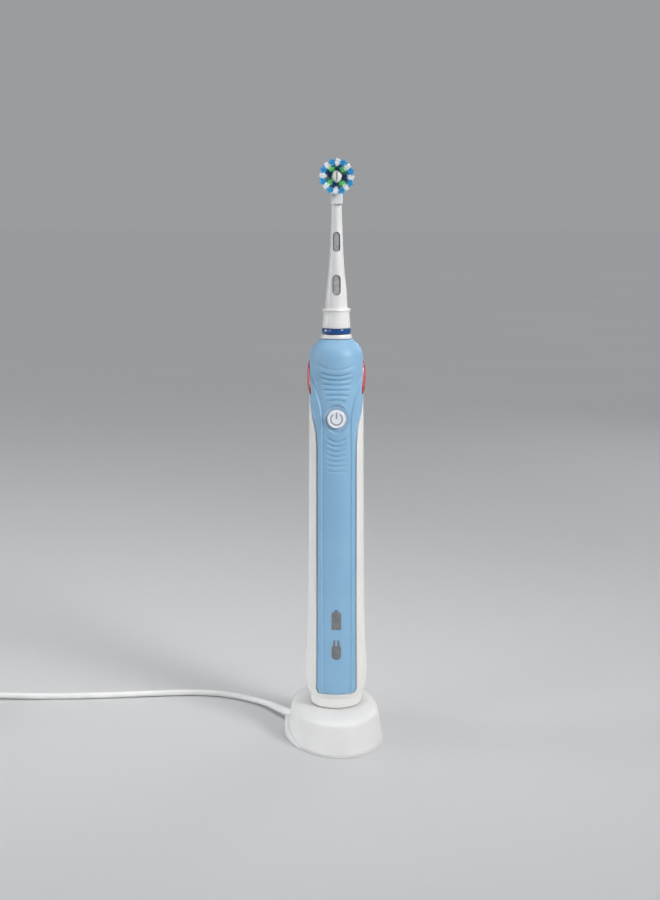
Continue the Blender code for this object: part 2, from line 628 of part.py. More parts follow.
def make_tube(name, route):
    curve = bpy.data.curves.new(name, "CURVE")
    curve.dimensions = "3D"
    curve.bevel_depth = CORD_RADIUS * MM
    curve.bevel_resolution = 2
    curve.use_fill_caps = True
    path = smooth_path(route, 4.5 * CORD_RADIUS)
    spline = curve.splines.new("POLY")
    spline.points.add(len(path) - 1)
    for point, place in zip(spline.points, path):
        point.co = (*(place * MM), 1.0)
    curve.materials.append(WHITE)
    bpy.context.scene.collection.objects.link(bpy.data.objects.new(name, curve))


def make_strain_relief():
    start, end = Vector(RELIEF_START), Vector(RELIEF_END)
    axis = (end - start).normalized()
    side = axis.cross(Vector((0, 0, 1))).normalized()
    rise = side.cross(axis)
    rings = []
    for share, radius in ((0.0, 1.95), (0.5, 1.8), (1.0, 1.6)):
        centre = start.lerp(end, share)
        rings.append([centre + radius * (side * math.cos(a) + rise * math.sin(a))
                      for a in spread(0, math.tau * 15 / 16, 16)])
    build("strain_relief", skin(rings), WHITE)


def make_cord():
    make_strain_relief()
    make_tube("mains_cord", CORD_ROUTE)
    make_tube("plug_lead", LEAD_ROUTE)
    centre = (*COIL_CENTRE, 0)
    middle = (COIL_BOTTOM + COIL_TOP) / 2
    section = ((COIL_INNER + 0.8, COIL_BOTTOM), (COIL_OUTER - 0.8, COIL_BOTTOM), (COIL_OUTER, middle),
               (COIL_OUTER - 0.8, COIL_TOP), (COIL_INNER + 0.8, COIL_TOP), (COIL_INNER, middle))
    turned("cord_coil", section, WHITE, 32, closed=True, location=centre)

    def band(thickness, across):
        x0, x1 = COIL_INNER - thickness, COIL_OUTER + thickness
        z0, z1 = COIL_BOTTOM - thickness, COIL_TOP + thickness
        return [(x0, across, z0), (x1, across, z0), (x1, across, z1), (x0, across, z1)]

    rings = [band(0.85, -2), band(0.85, 2), band(0.35, 2), band(0.35, -2)]
    build("cord_tie", skin(rings, closed=True), BLACK, location=centre, turn=math.radians(-25))


def make_plug():
    rows = ((0, 2.6, 2.6), (9, 3.4, 3.1), (14, 5.5, 4.6), (20, 12.0, 6.4), (25, 16.6, 6.85),
            (33, 17.6, 6.85), (35, 16.8, 6.2))
    rings = [superellipse(width, height, 2.6, z, 20) for z, width, height in rows]
    build("plug_body", skin(rings), WHITE, location=PLUG_START, forward=True)
    for name, side in (("plug_pin_left", -1), ("plug_pin_right", 1)):
        x, y, z = PLUG_START
        turned(name, ((2.0, 35.3), (2.0, 52.5), (1.3, 54.0)), STEEL, 16,
               location=(x + 9.5 * side, y, z), forward=True)


make_shell()
make_grips()
make_pressure_lights()
make_neck()
make_bottom()
make_button()
make_lenses()
make_frame_parts()
make_electronics()
make_power()
make_gears()
make_shaft()
make_head()
make_rod()
make_brush()
make_charger()
make_cord()
make_plug()
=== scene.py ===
# Finished look of an electric toothbrush standing on its charger.
# Sizes beside each piece are millimetres; mm turns them into metres. The front looks along -Y.
import math

import bmesh
import bpy
from mathutils import Matrix, Vector


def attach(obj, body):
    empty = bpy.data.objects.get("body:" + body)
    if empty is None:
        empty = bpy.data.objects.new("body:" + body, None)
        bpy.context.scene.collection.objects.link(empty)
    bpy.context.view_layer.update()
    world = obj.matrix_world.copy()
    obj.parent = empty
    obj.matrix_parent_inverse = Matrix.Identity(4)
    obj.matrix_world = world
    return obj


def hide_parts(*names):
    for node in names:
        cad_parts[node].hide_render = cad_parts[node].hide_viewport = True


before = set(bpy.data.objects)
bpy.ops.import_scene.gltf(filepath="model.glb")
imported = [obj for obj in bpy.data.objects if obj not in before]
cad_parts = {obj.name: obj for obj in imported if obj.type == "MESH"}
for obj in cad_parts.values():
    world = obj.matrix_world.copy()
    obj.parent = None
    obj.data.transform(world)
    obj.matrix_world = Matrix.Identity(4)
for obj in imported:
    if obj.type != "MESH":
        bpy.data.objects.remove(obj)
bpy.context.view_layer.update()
mm = 0.001
scene = bpy.context.scene
print("frame loaded:", len(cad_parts), "nodes")


# small tools
def spread(first, last, count):
    return [first + (last - first) * i / (count - 1) for i in range(count)]


def clamp(value, low=0.0, high=1.0):
    return max(low, min(high, value))


def smoothStep(value):
    t = clamp(value)
    return t * t * (3 - 2 * t)


def mixed(a, b, share):
    return a + (b - a) * share


def slopesOf(table):
    # slopes that never overshoot, so a smooth outline keeps to its own points
    steps = [(q[1] - p[1]) / (q[0] - p[0]) for p, q in zip(table, table[1:])]
    inner = [0.0 if a * b <= 0 else 2 * a * b / (a + b) for a, b in zip(steps, steps[1:])]
    return [steps[0], *inner, steps[-1]]


def readTable(table, slopes, z):
    # the value at z on the smooth curve through the table's own points
    z = clamp(z, table[0][0], table[-1][0])
    for k in range(len(table) - 1):
        (z0, low), (z1, high) = table[k], table[k + 1]
        if z <= z1:
            h = z1 - z0
            t = (z - z0) / h
            return (low * (1 + 2 * t) * (1 - t) ** 2 + slopes[k] * h * t * (1 - t) ** 2
                    + high * t * t * (3 - 2 * t) + slopes[k + 1] * h * t * t * (t - 1))


def readerOf(rows, column=1):
    # a function of z that reads one column of the rows
    table = [(row[0], row[column]) for row in rows]
    slopes = slopesOf(table)
    return lambda z: readTable(table, slopes, z)


def smoothRoute(route, spacing):
    # a smooth curve through a route's own points, read off at about the spacing
    points = [Vector(p) for p in route]
    points = [2 * points[0] - points[1], *points, 2 * points[-1] - points[-2]]
    path = []
    for before, here, there, after in zip(points, points[1:], points[2:], points[3:]):
        steps = max(1, round((there - here).length / spacing))
        for i in range(steps):
            t = i / steps
            path.append(0.5 * (2 * here + (there - before) * t
                               + (2 * before - 5 * here + 4 * there - after) * t ** 2
                               + (3 * here - before - 3 * there + after) * t ** 3))
    return path + [points[-2]]


def facingFront(z=0.0, x=0.0, y=0.0):
    # tips a piece made about +Z over to face the front
    return Matrix.Translation(Vector((x, y, z)) * mm) @ Matrix.Rotation(math.pi / 2, 4, "X")


def addObject(name, data):
    obj = bpy.data.objects.new(name, data)
    scene.collection.objects.link(obj)
    return obj


def makeObject(name, bm, *materials, place=None, sharp=35):
    bmesh.ops.recalc_face_normals(bm, faces=bm.faces)
    if bm.calc_volume(signed=True) < 0:
        bmesh.ops.reverse_faces(bm, faces=bm.faces)
    if place:
        bm.transform(place)
    mesh = bpy.data.meshes.new(name)
    bm.to_mesh(mesh)
    bm.free()
    for material in materials:
        mesh.materials.append(material)
    mesh.shade_smooth()
    mesh.set_sharp_from_angle(angle=math.radians(sharp))
    return addObject(name, mesh)


def loft(rings, closed=False):
    bm = bmesh.new()
    loops = [[bm.verts.new(Vector(point) * mm) for point in ring] for ring in rings]
    pairs = list(zip(loops, loops[1:]))
    if closed:
        pairs.append((loops[-1], loops[0]))
    for low, high in pairs:
        for i in range(len(low)):
            j = (i + 1) % len(low)
            bm.faces.new((low[i], low[j], high[j], high[i]))
    if not closed:
        bm.faces.new(loops[0][::-1])
        bm.faces.new(loops[-1])
    return bm


def thickSheet(levels):
    # a closed sheet; each level gives its row of outer points and its row of inner points
    bm = bmesh.new()
    outer, inner = [], []
    for outside, inside in levels:
        outer.append([bm.verts.new(Vector(point) * mm) for point in outside])
        inner.append([bm.verts.new(Vector(point) * mm) for point in inside])
    last = len(outer[0]) - 1
    for rows in (outer, inner):
        for low, high in zip(rows, rows[1:]):
            for i in range(last):
                bm.faces.new((low[i], low[i + 1], high[i + 1], high[i]))
    for k in range(len(outer) - 1):
        for i in (0, last):
            bm.faces.new((outer[k][i], outer[k + 1][i], inner[k + 1][i], inner[k][i]))
    for k in (0, len(outer) - 1):
        for i in range(last):
            bm.faces.new((outer[k][i], outer[k][i + 1], inner[k][i + 1], inner[k][i]))
    return bm


def circle(radius, z, count=64, start=0.0):
    angles = [math.tau * i / count + start for i in range(count)]
    return [(radius * math.sin(a), -radius * math.cos(a), z) for a in angles]


def oval(halfX, halfY, power, z, count=64):
    ring = []
    for i in range(count):
        s, c = math.sin(math.tau * i / count), math.cos(math.tau * i / count)
        x = halfX * math.copysign(abs(s) ** (2 / power), s)
        y = -halfY * math.copysign(abs(c) ** (2 / power), c)
        ring.append((x, y, z))
    return ring


def turned(profile, count=64, closed=False):
    return loft([circle(radius, z, count) for radius, z in profile], closed)


def slab(outline, low, high):
    return loft([[(x, y, z) for x, y in outline] for z in (low, high)])


def box(width, height, centre=(0, 0)):
    x, y = centre
    w, h = width / 2, height / 2
    return [(x - w, y - h), (x + w, y - h), (x + w, y + h), (x - w, y + h)]


def slot(width, height, steps=16):
    radius = width / 2
    straight = height / 2 - radius
    ends = []
    for side, start in ((1, 0.0), (-1, math.pi)):
        for angle in spread(start, start + math.pi, steps + 1):
            ends.append((radius * math.cos(angle), side * straight + radius * math.sin(angle)))
    return ends


def placed(bm, place):
    bm.transform(place)
    return bm


def plainMesh(obj):
    # bakes the modifiers into the object's own mesh
    evaluated = obj.evaluated_get(bpy.context.evaluated_depsgraph_get())
    mesh = bpy.data.meshes.new_from_object(evaluated)
    mesh.name = obj.name
    obj.modifiers.clear()
    obj.data = mesh
    mesh.shade_smooth()
    return obj


def carve(obj, tools, sharp=35):
    # tools are (operation, bmesh) pairs, worked through in order
    helpers = []
    for i, (operation, bm) in enumerate(tools):
        helper = makeObject(f"{obj.name}_tool{i}", bm)
        modifier = obj.modifiers.new(helper.name, "BOOLEAN")
        modifier.operation = operation
        modifier.solver = "EXACT"
        modifier.object = helper
        helpers.append(helper)
    plainMesh(obj)
    for helper in helpers:
        bpy.data.objects.remove(helper, do_unlink=True)
    obj.data.set_sharp_from_angle(angle=math.radians(sharp))
    return obj


def softenEdges(obj, width):
    modifier = obj.modifiers.new("softEdges", "BEVEL")
    modifier.width = width * mm
    modifier.segments = 2
    modifier.limit_method = "ANGLE"
    modifier.angle_limit = math.radians(30)
    modifier.harden_normals = False
    plainMesh(obj)
    obj.data.set_sharp_from_angle(angle=math.radians(40))
    return obj


def finishPiece(piece, body, slotName, *nodes):
    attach(piece, body)
    if nodes:
        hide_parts(*nodes)
    return piece


# camera
cameraLook = {"place": (-2.9, -600.0, 242.0), "tilt": 80.0, "lens": 53.5}
cameraData = bpy.data.cameras.new("camera")
cameraData.lens = cameraLook["lens"]
cameraData.clip_start = 0.01
camera = addObject("camera", cameraData)
camera.location = Vector(cameraLook["place"]) * mm
camera.rotation_euler = (math.radians(cameraLook["tilt"]), 0, 0)
scene.camera = camera
scene.view_settings.view_transform = "Standard"


# shader groups
def groupTree(name, inputs, outputs):
    tree = bpy.data.node_groups.new(name, "ShaderNodeTree")
    for label, kind, value in inputs:
        socket = tree.interface.new_socket(label, in_out="INPUT", socket_type="NodeSocket" + kind)
        if value is not None:
            socket.default_value = value
    for label, kind in outputs:
        tree.interface.new_socket(label, in_out="OUTPUT", socket_type="NodeSocket" + kind)
    return tree, tree.nodes.new("NodeGroupInput"), tree.nodes.new("NodeGroupOutput")


def give(tree, socket, value):
    # another node's output is linked, and a plain value is set
    if isinstance(value, bpy.types.NodeSocket):
        tree.links.new(value, socket)
    elif value is not None:
        socket.default_value = (*value, 1.0) if socket.type == "RGBA" else value


def noiseNode(tree, vector, scale, detail=2.0):
    node = tree.nodes.new("ShaderNodeTexNoise")
    for label, value in (("Detail", detail), ("Vector", vector), ("Scale", scale)):
        give(tree, node.inputs[label], value)
    return node.outputs["Fac"]


def mathNode(tree, operation, first, second=None, third=None, clamped=False):
    node = tree.nodes.new("ShaderNodeMath")
    node.operation = operation
    node.use_clamp = clamped
    for socket, value in zip(node.inputs, (first, second, third)):
        give(tree, socket, value)
    return node.outputs[0]


def mixColour(tree, factor, first, second):
    node = tree.nodes.new("ShaderNodeMix")
    node.data_type = "RGBA"
    # the sockets that the node uses for colours
    for k, value in ((0, factor), (6, first), (7, second)):
        give(tree, node.inputs[k], value)
    return node.outputs[2]


def rangeNode(tree, value, low, high, outLow=0.0, outHigh=1.0):
    node = tree.nodes.new("ShaderNodeMapRange")
    node.interpolation_type = "SMOOTHSTEP"
    tree.links.new(value, node.inputs["Value"])
    for label, number in (("From Min", low), ("From Max", high), ("To Min", outLow), ("To Max", outHigh)):
        node.inputs[label].default_value = number
    return node.outputs["Result"]


def makeMouldedSkin():
    # cloudy tone, broken gloss and a fine grain: what every moulded or rubber surface shares
    tree, given, made = groupTree(
        "mouldedSkin",
        (("Vector", "Vector", None), ("Tone", "Color", (0.8, 0.8, 0.8, 1)),
         ("Shade", "Color", (0.7, 0.7, 0.7, 1)),
         ("Cloud Scale", "Float", 60.0), ("Grain Scale", "Float", 3000.0), ("Gloss", "Float", 0.4),
         ("Gloss Spread", "Float", 0.1)),
        (("Colour", "Color"), ("Roughness", "Float"), ("Height", "Float")))
    cloud = noiseNode(tree, given.outputs["Vector"], given.outputs["Cloud Scale"], 3.0)
    grain = noiseNode(tree, given.outputs["Vector"], given.outputs["Grain Scale"], 2.0)
    patches = rangeNode(tree, cloud, 0.35, 0.65)
    colour = mixColour(tree, patches, given.outputs["Tone"], given.outputs["Shade"])
    mean = mathNode(tree, "MULTIPLY", mathNode(tree, "ADD", cloud, grain), 0.5)
    swing = mathNode(tree, "SUBTRACT", mean, 0.5)
    gloss = mathNode(tree, "MULTIPLY_ADD", swing, given.outputs["Gloss Spread"], given.outputs["Gloss"], True)
    for socket, label in ((colour, "Colour"), (gloss, "Roughness"), (grain, "Height")):
        tree.links.new(socket, made.inputs[label])
    return tree


def makeTurnedMetal():
    # fine rings left by turning or drawing, round the Z axis
    tree, given, made = groupTree(
        "turnedMetal",
        (("Vector", "Vector", None), ("Tone", "Color", (0.6, 0.6, 0.6, 1)),
         ("Shade", "Color", (0.4, 0.4, 0.4, 1)),
         ("Ring Scale", "Float", 4000.0), ("Gloss", "Float", 0.3), ("Gloss Spread", "Float", 0.2)),
        (("Colour", "Color"), ("Roughness", "Float"), ("Height", "Float")))
    squeeze = tree.nodes.new("ShaderNodeVectorMath")
    squeeze.operation = "MULTIPLY"
    squeeze.inputs[1].default_value = (0.05, 0.05, 1.0)
    tree.links.new(given.outputs["Vector"], squeeze.inputs[0])
    rings = noiseNode(tree, squeeze.outputs[0], given.outputs["Ring Scale"], 2.0)
    smear = noiseNode(tree, given.outputs["Vector"], 120.0, 2.0)
    streaks = mathNode(tree, "MULTIPLY", rings, smear)
    colour = mixColour(tree, streaks, given.outputs["Tone"], given.outputs["Shade"])
    swing = mathNode(tree, "SUBTRACT", rings, 0.5)
    gloss = mathNode(tree, "MULTIPLY_ADD", swing, given.outputs["Gloss Spread"], given.outputs["Gloss"], True)
    for socket, label in ((colour, "Colour"), (gloss, "Roughness"), (rings, "Height")):
        tree.links.new(socket, made.inputs[label])
    return tree


mouldedSkin = makeMouldedSkin()
turnedMetal = makeTurnedMetal()


class Paint:
    # one material: a Principled shader, its object coordinates, and the helpers that feed it
    def __init__(self, name, **fixed):
        self.material = bpy.data.materials.new(name)
        self.material.use_nodes = True
        self.tree = self.material.node_tree
        self.shader = self.tree.nodes["Principled BSDF"]
        coordinates = self.tree.nodes.new("ShaderNodeTexCoord")
        self.vector = coordinates.outputs["Object"]
        for label, value in fixed.items():
            self.shader.inputs[label.replace("_", " ")].default_value = value

    def group(self, tree, **values):
        node = self.tree.nodes.new("ShaderNodeGroup")
        node.node_tree = tree
        self.tree.links.new(self.vector, node.inputs["Vector"])
        for label, value in values.items():
            give(self.tree, node.inputs[label.replace("_", " ")], value)
        return node

    def feed(self, label, socket):
        self.tree.links.new(socket, self.shader.inputs[label])

    def wear(self, skin, depth, height=None, strength=1.0):
        # colour and gloss from the skin, and bump from its grain unless another height is given
        self.feed("Base Color", skin.outputs["Colour"])
        self.feed("Roughness", skin.outputs["Roughness"])
        if depth:
            self.bump(height or skin.outputs["Height"], depth, strength)
        return self.material

    def bump(self, height, distance, strength):
        node = self.tree.nodes.new("ShaderNodeBump")
        node.inputs["Strength"].default_value = strength
        node.inputs["Distance"].default_value = distance * mm
        self.tree.links.new(height, node.inputs["Height"])
        self.feed("Normal", node.outputs["Normal"])

    def axis(self, label):
        node = self.tree.nodes.new("ShaderNodeSeparateXYZ")
        self.tree.links.new(self.vector, node.inputs[0])
        return node.outputs[label]


def moulded(name, tone, shade, gloss=0.35, spreadOf=0.12, cloud=70.0, grain=2600.0, bump=0.004, **fixed):
    paint = Paint(name, **fixed)
    skin = paint.group(mouldedSkin, Tone=tone, Shade=shade, Cloud_Scale=cloud, Grain_Scale=grain,
                       Gloss=gloss, Gloss_Spread=spreadOf)
    return paint.wear(skin, bump)


def metal(name, tone, shade, gloss=0.3, rings=4000.0, bump=0.002, **fixed):
    paint = Paint(name, Metallic=1.0, **fixed)
    skin = paint.group(turnedMetal, Tone=tone, Shade=shade, Ring_Scale=rings, Gloss=gloss, Gloss_Spread=0.25)
    return paint.wear(skin, bump)


def bristlePaint(name, shadedRoot, tip, paintedGlow=0.0):
    # nylon with painted shade: darker deep in the tuft, clearer towards the rounded tips at the front
    # the glow is painted light: an emission that stands for light that nylon carries along its length
    paint = Paint(name, Specular_IOR_Level=0.5, Emission_Strength=paintedGlow)
    # painted shade: the colour darkens from the tips back to the roots
    along = rangeNode(paint.tree, paint.axis("Y"), -7.5 * mm, -12.5 * mm)
    tone = mixColour(paint.tree, along, shadedRoot, tip)
    skin = paint.group(mouldedSkin, Tone=tone, Shade=tip, Cloud_Scale=900.0, Grain_Scale=5200.0,
                       Gloss=0.34, Gloss_Spread=0.2)
    # painted light: the skin colour is also sent out as a glow
    paint.feed("Emission Color", skin.outputs["Colour"])
    return paint.wear(skin, 0.003)


def lightPaint(name):
    # see-through red: a deep red tip at the bottom that clears to a rosy red above
    paint = Paint(name, Coat_Weight=0.6, Coat_Roughness=0.08, Specular_IOR_Level=0.6)
    height = rangeNode(paint.tree, paint.axis("Z"), 165.2 * mm, 166.4 * mm)
    tone = mixColour(paint.tree, height, (0.32, 0.0, 0.02), (0.6, 0.1, 0.1))
    skin = paint.group(mouldedSkin, Tone=tone, Shade=(0.48, 0.02, 0.03), Cloud_Scale=160.0,
                       Grain_Scale=2200.0, Gloss=0.18, Gloss_Spread=0.08)
    return paint.wear(skin, 0.003)


def boardPaint(name):
    paint = Paint(name, Coat_Weight=0.4, Coat_Roughness=0.15)
    weave = paint.tree.nodes.new("ShaderNodeTexBrick")
    weave.inputs["Scale"].default_value = 420.0
    weave.inputs["Mortar Size"].default_value = 0.012
    weave.inputs["Color1"].default_value = (0.0, 0.11, 0.045, 1)
    weave.inputs["Color2"].default_value = (0.0, 0.15, 0.06, 1)
    weave.inputs["Mortar"].default_value = (0.08, 0.32, 0.12, 1)
    turn = paint.tree.nodes.new("ShaderNodeMapping")
    turn.inputs["Rotation"].default_value = (math.pi / 2, 0, 0)
    paint.tree.links.new(paint.vector, turn.inputs["Vector"])
    paint.tree.links.new(turn.outputs[0], weave.inputs["Vector"])
    skin = paint.group(mouldedSkin, Tone=weave.outputs["Color"], Shade=(0.0, 0.13, 0.05), Cloud_Scale=150.0,
                       Grain_Scale=2500.0, Gloss=0.35, Gloss_Spread=0.1)
    return paint.wear(skin, 0.02, weave.outputs["Fac"], 0.4)


def windingPaint(name):
    # enamelled wire laid in close turns round the Z axis, with painted shade darkening the colour in the
    # grooves between the turns
    paint = Paint(name, Metallic=1.0, Coat_Weight=0.5, Coat_Roughness=0.12)
    wire = 0.3 * mm
    turns = mathNode(paint.tree, "SINE", mathNode(paint.tree, "MULTIPLY", paint.axis("Z"), math.tau / wire))
    ridge = rangeNode(paint.tree, turns, -1.0, 1.0)
    # painted shade: dark copper in the grooves between turns, plain copper on their crests
    tone = mixColour(paint.tree, ridge, (0.24, 0.07, 0.03), (0.78, 0.33, 0.17))
    skin = paint.group(mouldedSkin, Tone=tone, Shade=(0.66, 0.27, 0.13), Cloud_Scale=260.0,
                       Grain_Scale=2500.0, Gloss=0.3, Gloss_Spread=0.1)
    return paint.wear(skin, 0.06, ridge)


def cellPaint(name, bottom, top):
    # a shrink sleeve that leaves the two steel ends bare
    paint = Paint(name, Coat_Weight=0.3, Coat_Roughness=0.1)
    height = paint.axis("Z")
    low = rangeNode(paint.tree, height, (bottom + 0.5) * mm, (bottom + 0.7) * mm)
    high = rangeNode(paint.tree, height, (top - 1.4) * mm, (top - 1.2) * mm, 1.0, 0.0)
    sleeve = mathNode(paint.tree, "MULTIPLY", low, high)
    tone = mixColour(paint.tree, sleeve, (0.62, 0.62, 0.6), (0.05, 0.12, 0.4))
    skin = paint.group(mouldedSkin, Tone=tone, Shade=(0.07, 0.15, 0.44), Cloud_Scale=40.0,
                       Grain_Scale=1500.0, Gloss=0.28, Gloss_Spread=0.1)
    paint.feed("Metallic", mathNode(paint.tree, "SUBTRACT", 1.0, sleeve))
    return paint.wear(skin, 0.01)


shellWhite = moulded("shellWhite", (0.80, 0.80, 0.78), (0.775, 0.775, 0.75), 0.3, 0.1, bump=0.003)
chargerWhite = moulded("chargerWhite", (0.76, 0.76, 0.76), (0.735, 0.735, 0.735), 0.38, 0.12, bump=0.004)
stemWhite = moulded("stemWhite", (0.80, 0.80, 0.80), (0.76, 0.76, 0.76), 0.24, 0.08, 110.0, bump=0.002)
buttonWhite = moulded("buttonWhite", (0.82, 0.87, 0.93), (0.79, 0.85, 0.92), 0.26, 0.08, 200.0, bump=0.002)
gripBlue = moulded("gripBlue", (0.25, 0.46, 0.67), (0.23, 0.435, 0.645), 0.48, 0.14, 45.0, 5200.0, 0.012,
                   Sheen_Weight=0.12, Sheen_Roughness=0.4)
sealBlue = moulded("sealBlue", (0.30, 0.47, 0.66), (0.27, 0.44, 0.62), 0.5, 0.1, 300.0, 5200.0, 0.01)
iconGrey = moulded("iconGrey", (0.205, 0.215, 0.225), (0.17, 0.18, 0.19), 0.3, 0.1, 400.0, bump=0.003)
# painted shade: a dark rim and a grey sheet that stand for the shaded inside of the stem's windows
rimShadeGrey = moulded("rimShadeGrey", (0.16, 0.165, 0.17), (0.2, 0.205, 0.21), 0.25, 0.08, 400.0, bump=0.002)
paneShadeGrey = moulded("paneShadeGrey", (0.44, 0.45, 0.46), (0.34, 0.35, 0.36), 0.14, 0.06, 700.0, bump=0.003,
                   Coat_Weight=0.8, Coat_Roughness=0.06)
powerGrey = moulded("powerGrey", (0.34, 0.35, 0.38), (0.29, 0.31, 0.34), 0.35, 0.1, 500.0, bump=0.002)
ringNavy = moulded("ringNavy", (0.008, 0.075, 0.27), (0.006, 0.055, 0.22), 0.16, 0.06, 200.0, bump=0.001,
                   Coat_Weight=0.5, Coat_Roughness=0.05)
lensRed = lightPaint("lensRed")
cordWhite = moulded("cordWhite", (0.80, 0.80, 0.80), (0.76, 0.76, 0.76), 0.45, 0.14, 160.0, 4200.0, 0.008)
plugWhite = moulded("plugWhite", (0.81, 0.81, 0.805), (0.78, 0.78, 0.775), 0.4, 0.12, 90.0, bump=0.006)
tieBlack = moulded("tieBlack", (0.018, 0.018, 0.02), (0.03, 0.03, 0.032), 0.5, 0.15, 240.0, 3000.0, 0.01)
rubberBlack = moulded("rubberBlack", (0.02, 0.02, 0.021), (0.035, 0.035, 0.036), 0.6, 0.15, 200.0, bump=0.01)
plasticBlack = moulded("plasticBlack", (0.02, 0.02, 0.022), (0.03, 0.03, 0.033), 0.42, 0.12, 220.0, bump=0.006)
innerPlastic = moulded("innerPlastic", (0.76, 0.76, 0.73), (0.70, 0.70, 0.67), 0.46, 0.14, 90.0, bump=0.008)
ferrite = moulded("ferrite", (0.035, 0.035, 0.038), (0.06, 0.06, 0.062), 0.7, 0.2, 600.0, 2400.0, 0.03)
lampClear = moulded("lampClear", (0.72, 0.72, 0.66), (0.6, 0.6, 0.52), 0.2, 0.1, 800.0, bump=0.002)
steel = metal("steel", (0.62, 0.62, 0.63), (0.42, 0.42, 0.44), 0.24)
nickel = metal("nickel", (0.72, 0.69, 0.63), (0.5, 0.48, 0.44), 0.2)
brass = metal("brass", (0.72, 0.52, 0.22), (0.5, 0.34, 0.12), 0.3)
winding = windingPaint("winding")
board = boardPaint("board")
cellWrap = cellPaint("cellWrap", 47.0, 95.0)
# the last number of each is the strength of its painted glow
bristleBlue = bristlePaint("bristleBlue", (0.012, 0.17, 0.42), (0.09, 0.5, 0.82), 0.12)
bristleWhite = bristlePaint("bristleWhite", (0.86, 0.9, 0.92), (0.97, 0.98, 0.98), 0.1)
bristleGreen = bristlePaint("bristleGreen", (0.03, 0.3, 0.08), (0.22, 0.75, 0.28), 0.1)
bristleNavy = bristlePaint("bristleNavy", (0.003, 0.03, 0.12), (0.015, 0.1, 0.32))
hubWhite = moulded("hubWhite", (0.88, 0.88, 0.88), (0.82, 0.83, 0.83), 0.35, 0.1, 300.0, bump=0.004)
print("materials made:", len(bpy.data.materials))


# mains cord: route, coil and lead to the plug, all one line
cord = {
    "radius": 1.5, "reliefStart": (-19.9, 14.2, 3.4), "reliefEnd": (-32.3, 31.4, 2.5),
    "route": ((-21.2, 16.0, 3.3), (-27.0, 24.2, 2.95), (-32.9, 32.2, 2.45), (-38.8, 38.3, 1.85),
              (-45.5, 43.2, 1.6), (-54.0, 47.6, 1.55), (-64.0, 50.3, 1.55), (-78.0, 50.8, 1.55),
              (-95.0, 49.4, 1.55),
              (-120.0, 46.8, 1.55), (-145.0, 45.6, 1.55), (-168.0, 45.5, 1.9), (-186.5, 45.6, 2.4)),
    "coilCentre": (-200.0, 22.0), "outerTurn": 23.6, "innerTurn": 14.4, "lowLayer": 2.5, "highLayer": 5.6,
    "lead": ((-223.6, 7.6, 5.9), (-223.9, 4.0, 6.1), (-224.2, 0.5, 6.6), (-224.3, -3.3, 6.9)),
    "plug": (-224.3, -3.5, 6.9),
}


def coilPath():
    # the lower layer winds in and the upper layer winds back out, one cord's width apart
    c = cord
    points = []
    lowTurns, highTurns, perTurn = 3.0, 3.25, 40
    start = math.radians(90)
    steps = int((lowTurns + highTurns) * perTurn)
    for i in range(steps + 1):
        turn = i / perTurn
        if turn <= lowTurns:
            radius = mixed(c["outerTurn"], c["innerTurn"], turn / lowTurns)
        else:
            radius = mixed(c["innerTurn"], c["outerTurn"], (turn - lowTurns) / highTurns)
        rise = smoothStep((turn - lowTurns + 0.3) / 0.6)
        angle = start + math.tau * turn
        points.append((c["coilCentre"][0] + radius * math.cos(angle),
                       c["coilCentre"][1] + radius * math.sin(angle),
                       mixed(c["lowLayer"], c["highLayer"], rise)))
    return [Vector(p) for p in points]


def makeCord():
    c = cord
    coil = coilPath()
    free = smoothRoute([*c["route"], tuple(coil[0])], 5.0)[:-1]
    lead = smoothRoute([tuple(coil[-1]), *c["lead"]], 2.0)[1:]
    path = free + coil + lead
    curve = bpy.data.curves.new("mains_lead", "CURVE")
    curve.dimensions = "3D"
    curve.bevel_depth = c["radius"] * mm
    curve.bevel_resolution = 5
    curve.use_fill_caps = True
    spline = curve.splines.new("POLY")
    spline.points.add(len(path) - 1)
    for point, place in zip(spline.points, path):
        point.co = (*(place * mm), 1.0)
    curve.materials.append(cordWhite)
    obj = addObject("mains_lead", curve)
    length = sum((b - a).length for a, b in zip(path, path[1:]))
    print("cord points:", len(path), "length mm:", round(length, 1))
    return finishPiece(obj, "charger", "cord", "mains_cord", "cord_coil", "plug_lead"), length


def sleeveAlong(name, start, end, rows, material, count=40):
    # round rings along a straight axis; rows are (share of the way, radius)
    start, end = Vector(start), Vector(end)
    axis = (end - start).normalized()
    side = axis.cross(Vector((0, 0, 1))).normalized()
    rise = side.cross(axis)
    rings = []
    for share, radius in rows:
        centre = start.lerp(end, share)
        rings.append([centre + radius * (side * math.cos(a) + rise * math.sin(a))
                      for a in spread(0, math.tau * (count - 1) / count, count)])
    return makeObject(name, loft(rings), material)


def makeStrainRelief():
    rows = ((0.0, 2.15), (0.2, 2.1), (0.45, 1.95), (0.7, 1.8), (0.9, 1.68), (0.97, 1.62), (0.99, 1.58),
            (1.0, 1.53))
    piece = sleeveAlong("cord_sleeve", cord["reliefStart"], cord["reliefEnd"], rows, cordWhite)
    return finishPiece(piece, "charger", "cord", "strain_relief")


